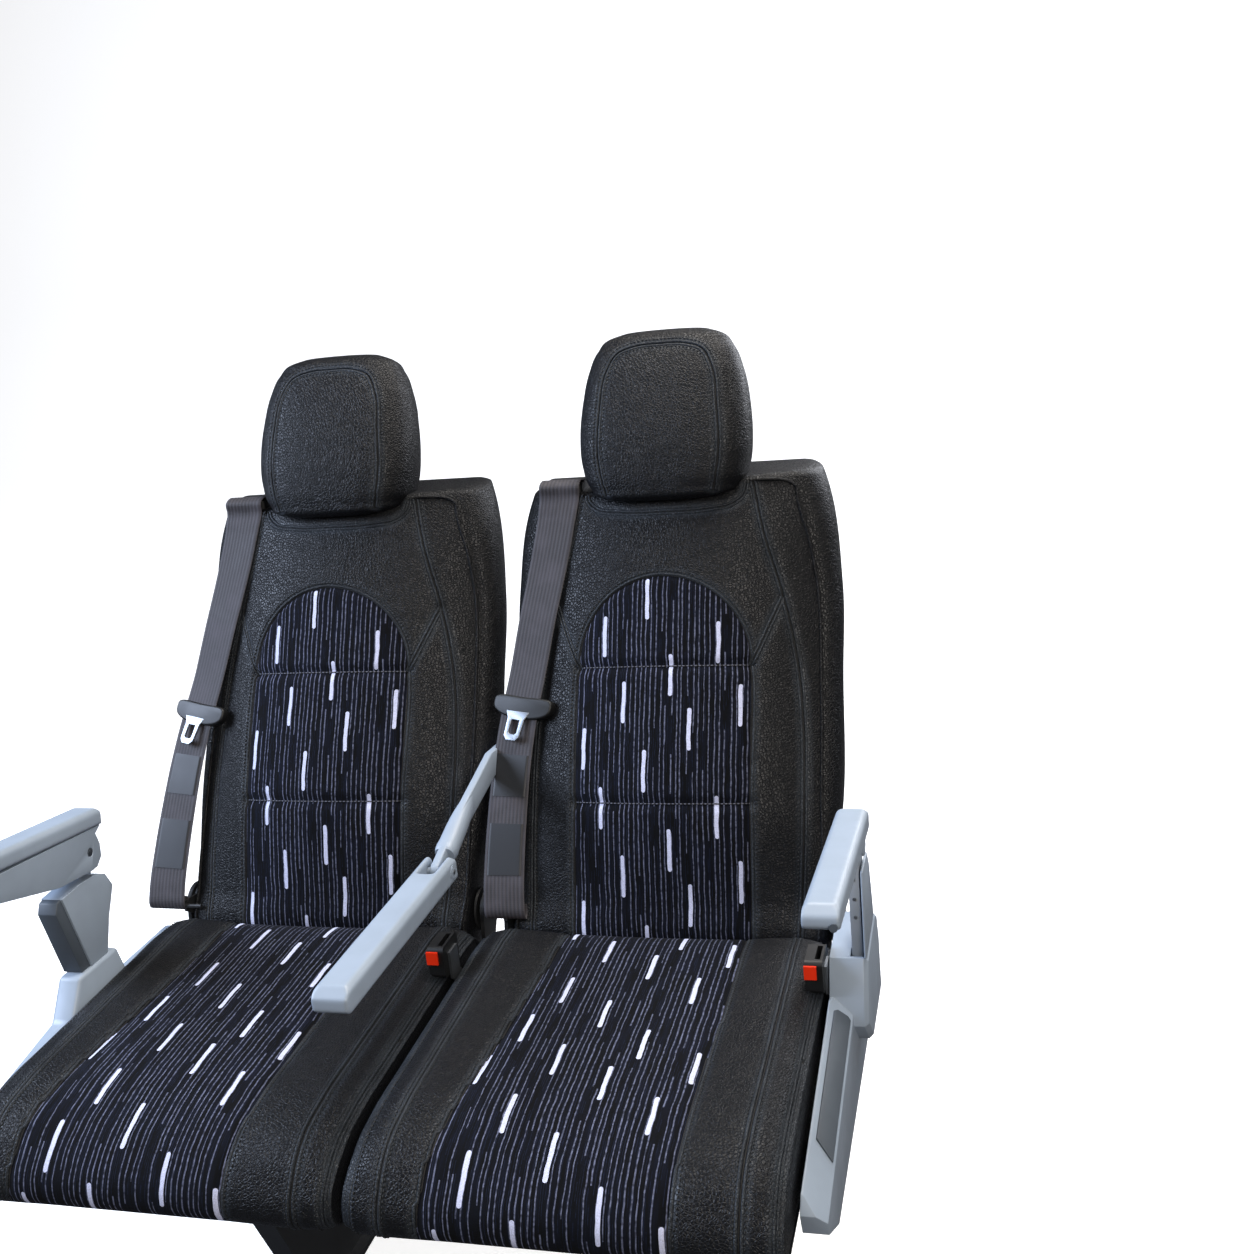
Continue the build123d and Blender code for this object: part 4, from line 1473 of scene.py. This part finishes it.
@dataclass
class ShoulderBelt:
    """The belt's flat webbing from the shoulder guide down to the bar by the recline pin.

    Attributes:
        seat: Which place.
        width: Width of the webbing.
        thick: Its thickness.
        follow: How much of the pad's slope it takes on across its width.
        clear: Least distance from the pad to the webbing's middle.
        guide_height: Height of the shoulder guide along the back.
        window_spread: How much further out the window place's webbing runs at the bottom.
        tongue_height: Height of the tongue along the back.
        grip: Width, height and thickness of the tongue's grip.
        path: Height, across and forward of the webbing's middle.
    """

    seat: Seat
    width: float = 0.0550
    thick: float = 0.0016
    follow: float = 0.35
    clear: float = 0.0035
    guide_height: float = 0.541
    window_spread: float = 0.026
    tongue_height: float = 0.266
    grip: tuple[float, float, float] = (0.088, 0.029, 0.012)
    middle: np.ndarray = field(init=False)
    slope: np.ndarray = field(init=False)
    path: tuple[tuple[float, float, float], ...] = (
        (0.551, -0.142, -0.025), (0.561, -0.142, -0.015), (0.563, -0.142, 0.001), (0.552, -0.142, 0.0145),
        (0.541, -0.143, 0.010), (0.500, -0.149, 0.009), (0.440, -0.161, 0.009), (0.380, -0.174, 0.010),
        (0.310, -0.187, 0.012), (0.245, -0.198, 0.021), (0.190, -0.204, 0.029), (0.130, -0.207, 0.038),
        (0.070, -0.208, 0.047), (0.020, -0.207, 0.0535), (0.000, -0.206, 0.0524), (-0.0046, -0.206, 0.0480),
        (0.0, -0.206, 0.0436), (0.014, -0.206, 0.0465))

    def lay(self) -> np.ndarray:
        """Lay the middle of the webbing over the back pad, with its slope across the face.

        Returns:
            Length along the path at each point of the middle.
        """
        spread = self.window_spread if self.seat is Seat.WINDOW else 0.0
        rows = np.array(self.path)
        rows[:, 1] -= spread * np.clip((self.guide_height - rows[:, 0]) / self.guide_height, 0, None) ** 1.3
        steps = np.concatenate([[0], np.cumsum(np.linalg.norm(np.diff(rows, axis=0), axis=1))])
        at = np.unique(np.concatenate([np.linspace(0, steps[4], 24), np.linspace(steps[4], steps[-1], 150)]))
        middle = hermite(np.column_stack([steps, rows]), at)
        pad = hermite(np.array(BackPad(self.seat).rows), np.clip(middle[:, 0], -0.05, 0.6))
        slope = 2 * (pad[:, 0] - pad[:, 1]) * np.minimum(1, np.abs(middle[:, 1]) / pad[:, 2]) / pad[:, 2]
        slope *= np.clip(middle[:, 0] / 0.310, 0, 1) * np.clip((0.551 - middle[:, 0]) / 0.04, 0, 1) * self.follow
        for offset in (-self.width / 2, 0.0, self.width / 2):
            x = np.abs(middle[:, 1] + offset)
            face = pad[:, 0] - (pad[:, 0] - pad[:, 1]) * (x / pad[:, 2]) ** 2
            need = face + self.clear - (middle[:, 2] + slope * offset)
            on_face = smooth_step(-0.01, 0.03, middle[:, 0]) * (
                1 - smooth_step(0.52, self.guide_height, middle[:, 0]))
            middle[:, 2] += np.maximum(0, need) * on_face * (x < pad[:, 2])
        kernel = np.hanning(15)
        inside = slice(30, len(middle) - 12)
        soft = np.convolve(np.pad(middle[:, 2], len(kernel) // 2, "edge"), kernel / kernel.sum(), "valid")
        middle[inside, 2] = soft[inside]
        self.middle, self.slope = middle, slope
        return at

    def section(self) -> list[tuple[float, float]]:
        """Outline of the webbing's section, with its hems: across and out."""
        half, hem = self.width / 2, self.thick / 2
        return [(-half, 0), (-half + 0.0008, hem),
                *((x, hem) for x in np.linspace(-half + 0.004, half - 0.004, 9)),
                (half - 0.0008, hem), (half, 0), (half - 0.0008, -hem), (-half + 0.0008, -hem)]

    def make(self, wardrobe: Wardrobe) -> None:
        """Build and dress the webbing, its sewn patches and its tongue.

        Args:
            wardrobe: The finishes.
        """
        at = self.lay()
        middle, name = self.middle, self.seat.value
        run = np.gradient(middle, axis=0)
        run /= np.linalg.norm(run, axis=1)[:, None]
        across = np.stack([np.zeros(len(at)), np.ones(len(at)), self.slope], axis=-1)
        across -= run * (across * run).sum(axis=1)[:, None]
        across /= np.linalg.norm(across, axis=1)[:, None]
        normal = np.cross(across, run)
        shape = self.section()
        seen = np.arange(len(at)) > 60
        bands = [("belt_strap", np.full(len(at), True), 1.0, 0.0, [f"{name}_belt_webbing"])]
        for number, (low, high) in enumerate(((0.148, 0.205), (0.050, 0.118)), start=1):
            rows = seen & (middle[:, 0] > low) & (middle[:, 0] < high)
            bands.append((f"belt_patch_{number}", rows, 0.84, 0.0011, []))
        for label, rows, share, lift, nodes in bands:
            grid = np.array([[m + a * w * share + n * (h * share + lift) for w, h in shape]
                             for m, a, n in zip(middle[rows], across[rows], normal[rows])])
            u = np.tile([w for w, _ in shape], (len(grid), 1))
            v = np.tile(at[rows][:, None], (1, len(shape)))
            skin = SoftSkin(on_back(self.seat, grid[..., 1], grid[..., 0], grid[..., 2]), u, v, np.ones(u.shape))
            finish = wardrobe.by_slot[Slot.WEBBING] if nodes else wardrobe.patch
            piece = skin.to_piece(f"{name}_{label}", finish, np.zeros(u.shape), np.zeros(u.shape))
            piece.data.set_sharp_from_angle(angle=SOFT_EDGE)
            seat_piece(piece, self.seat.back_body, Slot.WEBBING, nodes)
        self.tongue(wardrobe)

    def plate(self, outline: np.ndarray, thick: float, hole: np.ndarray | None, bevel: float) -> bmesh.types.BMesh:
        """Build a flat plate with rounded edges, drawn across and up, with an optional hole.

        Args:
            outline: Corners, across and up.
            thick: Thickness.
            hole: Corners of the hole, as many as the outline's, or None.
            bevel: Radius of its edges.

        Returns:
            The plate, lying in its own X and Z.
        """
        work = bmesh.new()
        loops = []
        for y in (-thick / 2, thick / 2):
            for ring in ([outline] if hole is None else [outline, hole]):
                loops.append([work.verts.new((x, y, z)) for x, z in ring])
        count = len(outline)
        step = len(loops) // 2
        for k in range(count):
            n = (k + 1) % count
            work.faces.new((loops[0][k], loops[0][n], loops[step][n], loops[step][k]))
            if hole is not None:
                work.faces.new((loops[1][n], loops[1][k], loops[3][k], loops[3][n]))
                work.faces.new((loops[0][n], loops[0][k], loops[1][k], loops[1][n]))
                work.faces.new((loops[2][k], loops[2][n], loops[3][n], loops[3][k]))
        if hole is None:
            work.faces.new(loops[0][::-1])
            work.faces.new(loops[1])
        bmesh.ops.recalc_face_normals(work, faces=work.faces)
        sharp = [e for e in work.edges if e.calc_face_angle(0) > math.radians(60)]
        bmesh.ops.bevel(work, geom=sharp, offset=bevel, segments=3, profile=0.5, affect="EDGES", clamp_overlap=True)
        return work

    def tongue(self, wardrobe: Wardrobe) -> None:
        """Hang the black guide and its steel tongue on the strap."""
        name = self.seat.value
        spot = int(np.argmin(np.abs(self.middle[:, 0] - self.tongue_height) + (np.arange(len(self.middle)) < 40)))
        height, across, forward = self.middle[spot]
        ahead = self.middle[spot - 3] - self.middle[spot + 3]
        up = Vector((ahead[1], -ahead[2], ahead[0])).normalized()
        side = Vector((1, -float(self.slope[spot]), 0))
        side = (side - up * side.dot(up)).normalized()
        turn = Matrix((side, -side.cross(up), up)).transposed().to_4x4()
        lean = Matrix.Rotation(-LEAN, 4, "X")
        home = Matrix.Translation((self.seat.centre_x, PIVOT_Y, PIVOT_Z)) @ lean @ Matrix.Translation(
            (across + 0.004, -forward, height)) @ turn
        wide, tall, thick = self.grip
        angles = np.linspace(0, 2 * math.pi, 32, endpoint=False)
        oval = np.column_stack(squared_circle(angles, 2 / 3.2)) * (wide / 2, tall / 2)
        oval[:, 1] -= 0.005 * (1 - (oval[:, 0] / (wide / 2)) ** 2)
        guide = self.plate(oval, thick, None, 0.0028)
        top, bottom, low = 0.036, 0.024, -0.050
        body = np.array([(-top / 2, -0.010), (-bottom / 2 - 0.001, -0.020), (-bottom / 2, low + 0.006),
                         (-bottom / 2 + 0.005, low), (bottom / 2 - 0.005, low), (bottom / 2, low + 0.006),
                         (bottom / 2 + 0.001, -0.020), (top / 2, -0.010)])
        slot = np.array([(-0.006, -0.022), (-0.006, -0.026), (-0.006, low + 0.011), (-0.004, low + 0.009),
                         (0.004, low + 0.009), (0.006, low + 0.011), (0.006, -0.026), (0.006, -0.022)])
        steel = self.plate(body, 0.0030, slot, 0.0009)
        swing = Matrix.Translation((-0.004, -0.0035, 0)) @ Matrix.Rotation(math.radians(-7), 4, "X")
        for work, label, slot_name, node, local in (
                (guide, "grip", Slot.BLACK_PLASTIC, "tongue_grip", Matrix()),
                (steel, "tongue", Slot.STEEL, "tongue_plate", swing)):
            work.transform(home @ local)
            mesh = bpy.data.meshes.new(f"{name}_belt_{label}")
            work.to_mesh(mesh)
            work.free()
            mesh.shade_smooth()
            mesh.set_sharp_from_angle(angle=math.radians(38))
            piece = new_object(mesh.name, mesh, wardrobe.by_slot[slot_name])
            seat_piece(piece, self.seat.back_body, slot_name, [f"{name}_{node}"])


# Rigid pieces

@dataclass(frozen=True)
class Moulding:
    """A rigid piece of the model with its edges rounded as it is moulded or pressed."""

    node: str
    body: str
    slot: Slot
    radius: float
    segments: int = 3
    voxel: float = 0.0
    finish: str = ""

    def rounded_by_voxels(self, mesh: bpy.types.Mesh) -> bpy.types.Mesh:
        """Round a soft moulding all over.

        Args:
            mesh: The solid's mesh in place.

        Returns:
            A new mesh.
        """
        work = linked("moulding_in_progress", mesh)
        remesh = work.modifiers.new("voxels", "REMESH")
        remesh.mode, remesh.voxel_size, remesh.adaptivity = "VOXEL", self.voxel, 0.0
        relax = work.modifiers.new("relax", "SMOOTH")
        relax.factor, relax.iterations = 0.5, max(1, int((self.radius / self.voxel) ** 2 * 1.6))
        return plain_mesh(work)

    def make(self, wardrobe: Wardrobe) -> None:
        """Build the rounded piece from the model's own solid."""
        source = frame["nodes"][self.node]
        work = bmesh.new()
        work.from_mesh(source.data)
        work.transform(source.matrix_world)
        bmesh.ops.remove_doubles(work, verts=work.verts, dist=1e-6)
        bmesh.ops.dissolve_limit(work, angle_limit=math.radians(1.0), verts=work.verts, edges=work.edges)
        if not self.voxel:
            sharp = [e for e in work.edges if len(e.link_faces) == 2 and e.calc_face_angle(0) > math.radians(24)]
            bmesh.ops.bevel(work, geom=sharp, offset=self.radius, offset_type="OFFSET", segments=self.segments,
                            profile=0.5, affect="EDGES", clamp_overlap=True)
        bmesh.ops.recalc_face_normals(work, faces=work.faces)
        mesh = bpy.data.meshes.new(self.node + "_moulded")
        work.to_mesh(mesh)
        work.free()
        if self.voxel:
            mesh = self.rounded_by_voxels(mesh)
        mesh.shade_smooth()
        mesh.set_sharp_from_angle(angle=math.radians(40))
        finish = getattr(wardrobe, self.finish) if self.finish else wardrobe.by_slot[self.slot]
        piece = new_object(self.node + "_moulded", mesh, finish)
        seat_piece(piece, self.body, self.slot, [self.node])


MOULDINGS = (
    Moulding("aisle_arm_pad", "arm_aisle", Slot.GREY_PLASTIC, 0.005, voxel=0.0016),
    Moulding("window_arm_pad", "arm_window", Slot.GREY_PLASTIC, 0.005, voxel=0.0016),
    Moulding("centre_arm_pad", "arm_centre", Slot.GREY_PLASTIC, 0.005, voxel=0.0016),
    Moulding("window_arm_block", "arm_window", Slot.GREY_PLASTIC, 0.003, 3),
    Moulding("aisle_shroud", "frame", Slot.GREY_PLASTIC, 0.003, 3),
    Moulding("window_shroud", "frame", Slot.GREY_PLASTIC, 0.005, 3),
    Moulding("aisle_shroud_insert", "frame", Slot.DARK_TRIM, 0.0007, 2),
    Moulding("window_arm_post", "frame", Slot.GREY_PLASTIC, 0.003, 3),
    Moulding("window_post_trim", "frame", Slot.DARK_TRIM, 0.001, 2),
    Moulding("aisle_arm_post", "frame", Slot.STEEL, 0.0012, 2, finish="painted_post"),
    Moulding("aisle_post_cover", "frame", Slot.GREY_PLASTIC, 0.001, 2),
    Moulding("centre_arm_bracket", "back_window", Slot.GREY_PLASTIC, 0.0015, 2),
)


@dataclass(frozen=True)
class LeverSleeve:
    """The rounded sleeve on the centre arm's bracket, from between the backs to the pin."""

    course: tuple[tuple[float, float, float, float], ...] = (
        (-0.0180, 0.6190, 0.0118, 0.0112), (-0.0160, 0.6197, 0.0126, 0.0120), (0.0000, 0.6245, 0.0128, 0.0122),
        (0.0250, 0.6325, 0.0122, 0.0125), (0.0450, 0.6385, 0.0108, 0.0126), (0.0650, 0.6433, 0.0082, 0.0128),
        (0.0800, 0.6465, 0.0058, 0.0128))

    def make(self, wardrobe: Wardrobe) -> None:
        """Build and dress the sleeve."""
        table = np.array(self.course)
        at = np.concatenate([table[:2, 0], np.linspace(-0.014, 0.080, 22)])
        rows = hermite(table, at)
        slope = np.gradient(rows[:, 0], at)
        angles = np.linspace(0, 2 * math.pi, 28, endpoint=False)
        x, z = squared_circle(angles, 0.8)
        norm = np.hypot(1, slope)
        grid = np.stack([x[None] * rows[:, 1:2], at[:, None] - z[None] * (rows[:, 2] * slope / norm)[:, None],
                         rows[:, :1] + z[None] * (rows[:, 2] / norm)[:, None]], axis=-1)
        blank = np.zeros(grid.shape[:2])
        piece = SoftSkin(grid, blank, blank, blank).to_piece(
            "centre_arm_sleeve", wardrobe.by_slot[Slot.GREY_PLASTIC], blank, blank)
        piece.data.set_sharp_from_angle(angle=SOFT_EDGE)
        seat_piece(piece, "back_window", Slot.GREY_PLASTIC)


def add_fasteners(wardrobe: Wardrobe) -> None:
    """Set the screws on the arms' pins and post, and the bolts on the feet.

    Args:
        wardrobe: The finishes.
    """
    tree = ScrewTree()
    right, left, ahead, up = (1, 0, 0), (-1, 0, 0), (0, -1, 0), (0, 0, 1)
    feet = [((x, y, 0.0110), up) for x in FOOT_X for y in FOOT_BOLT_Y]
    for name, body, spots, radius, height, slot in (
            ("centre_arm_boss", "arm_centre", [((0.0201, -0.045, 0.611), right), ((-0.0201, -0.045, 0.611), left)],
             0.0085, 0.0009, Slot.GREY_PLASTIC),
            ("centre_arm_screws", "arm_centre", [((0.0212, -0.045, 0.611), right), ((-0.0212, -0.045, 0.611), left)],
             0.0030, 0.0006, Slot.STEEL),
            ("window_arm_screw", "arm_window", [((-0.4523, -0.062, 0.636), right)], 0.0042, 0.0008, Slot.STEEL),
            ("aisle_arm_post_screws", "frame", [((0.482, -0.0263, z), ahead) for z in (0.602, 0.578, 0.556)],
             0.0021, 0.0005, Slot.STEEL),
            ("foot_bolts", "frame", feet, 0.0095, 0.0060, Slot.STEEL)):
        seat_piece(tree.place(name, spots, radius, height, wardrobe.by_slot[slot]), body, slot)


def dress_frame(wardrobe: Wardrobe) -> None:
    """Give each solid of the model that stays in view its finish.

    Args:
        wardrobe: The finishes.
    """
    slots = {row["node"]: Slot(row["material_slot"]) for row in frame["record"]["subparts"]}
    for name, node in frame["nodes"].items():
        material = wardrobe.by_slot[slots[name]]
        if not node.data.materials:
            node.data.materials.append(material)
        for place in node.material_slots:
            place.material = material


# Stage

@dataclass
class Studio:
    """Pale floor and backdrop, soft lamps, and the camera where the photograph was taken."""

    eye: tuple[float, float, float] = (0.6569, -1.4519, 1.3205)
    yaw: float = math.radians(15.74)
    pitch: float = math.radians(15.91)
    roll: float = math.radians(5.92)
    lens: float = 40.85

    def floor(self) -> None:
        """A floor that runs up into a backdrop: white to the camera, and grey to every other ray."""
        make = Shading("pale_studio_floor")
        path = make.add("ShaderNodeLightPath")
        noise = make.noise(make.object_place(), 400.0)
        colour = make.blend(noise, linear("#e9e9e8"), linear("#eeeeee"))
        colour = make.blend(path.outputs["Is Camera Ray"], linear("#4a4b4d"), colour)
        material = make.finish(Base_Color=colour, Roughness=0.8, Emission_Color=linear("#ffffff"),
                               Emission_Strength=make.math("MULTIPLY", path.outputs["Is Camera Ray"], 0.60))
        grid = np.array([[(-9, y, z), (9, y, z)] for y, z in (
            (-7, 0), (2.2, 0), (2.6, 0.06), (2.9, 0.25), (3.1, 0.6), (3.2, 1.2), (3.2, 7))])
        verts = grid.reshape(-1, 3).tolist()
        mesh = bpy.data.meshes.new("studio_floor")
        mesh.from_pydata(verts, [], [(2 * k, 2 * k + 1, 2 * k + 3, 2 * k + 2) for k in range(len(grid) - 1)])
        mesh.shade_smooth()
        new_object("studio_floor", mesh, material)

    def lamps(self) -> None:
        """Broad soft lamps: daylight from the left and behind, a fill from the front right."""
        for name, spot, aim, size, power, colour in (
                ("window_light", (-2.4, -0.6, 2.0), (0, 0, 0.7), 1.5, 125, "#d5e4ff"),
                ("front_fill", (1.8, -2.4, 2.2), (0, 0, 0.6), 1.3, 62, "#fff6ec"),
                ("rear_fill", (1.2, 2.0, 1.7), (0, 0.2, 0.7), 1.4, 34, "#f4f7ff"),
                ("top_light", (0.5, 0.6, 3.0), (0, 0, 0.6), 1.6, 85, "#fff9f2")):
            data = bpy.data.lights.new(name, "AREA")
            data.size, data.energy = size, power
            data.color = linear(colour)[:3]
            lamp = linked(name, data)
            lamp.location = spot
            lamp.rotation_euler = (Vector(aim) - Vector(spot)).to_track_quat("-Z", "Y").to_euler()
        # The world is white to the camera and dim to every other ray
        world = bpy.data.worlds.new("soft_world")
        world.use_nodes = True
        shade = world.node_tree.nodes["Background"]
        shade.inputs["Color"].default_value = linear("#f2f4f8")
        tree = world.node_tree
        path = tree.nodes.new("ShaderNodeLightPath")
        level = tree.nodes.new("ShaderNodeMath")
        level.operation = "MULTIPLY_ADD"
        tree.links.new(path.outputs["Is Camera Ray"], level.inputs[0])
        level.inputs[1].default_value, level.inputs[2].default_value = 0.9, 0.17
        tree.links.new(level.outputs[0], shade.inputs["Strength"])
        bpy.context.scene.world = world

    def camera(self) -> None:
        """Set the camera by its place and its three turns."""
        ahead = Vector((-math.sin(self.yaw) * math.cos(self.pitch), math.cos(self.yaw) * math.cos(self.pitch),
                        -math.sin(self.pitch)))
        right = Vector((math.cos(self.yaw), math.sin(self.yaw), 0))
        down = ahead.cross(right)
        turn_right = right * math.cos(self.roll) + down * math.sin(self.roll)
        turn_down = down * math.cos(self.roll) - right * math.sin(self.roll)
        data = bpy.data.cameras.new("photo_camera")
        data.lens, data.sensor_width = self.lens, 36
        camera = linked("photo_camera", data)
        turn = Matrix((turn_right, -turn_down, -ahead)).transposed().to_4x4()
        camera.matrix_world = Matrix.Translation(self.eye) @ turn
        bpy.context.scene.camera = camera

    def build(self) -> None:
        """Set up the stage, with colours shown as they are written."""
        self.floor()
        self.lamps()
        self.camera()
        bpy.context.scene.view_settings.view_transform = "Standard"


def main() -> None:
    """Build every piece in order."""
    logging.basicConfig(level=logging.INFO, format="%(message)s")
    wardrobe = Wardrobe()
    stitches = StitchTree()
    dress_frame(wardrobe)
    for seat in Seat:
        BackPad(seat).make(wardrobe, stitches)
        Headrest(seat).make(wardrobe, stitches)
        SeatCushion(seat).make(wardrobe, stitches)
        ShoulderBelt(seat).make(wardrobe)
    for moulding in MOULDINGS:
        moulding.make(wardrobe)
    LeverSleeve().make(wardrobe)
    add_fasteners(wardrobe)
    Studio().build()


if __name__ == "__main__":
    main()
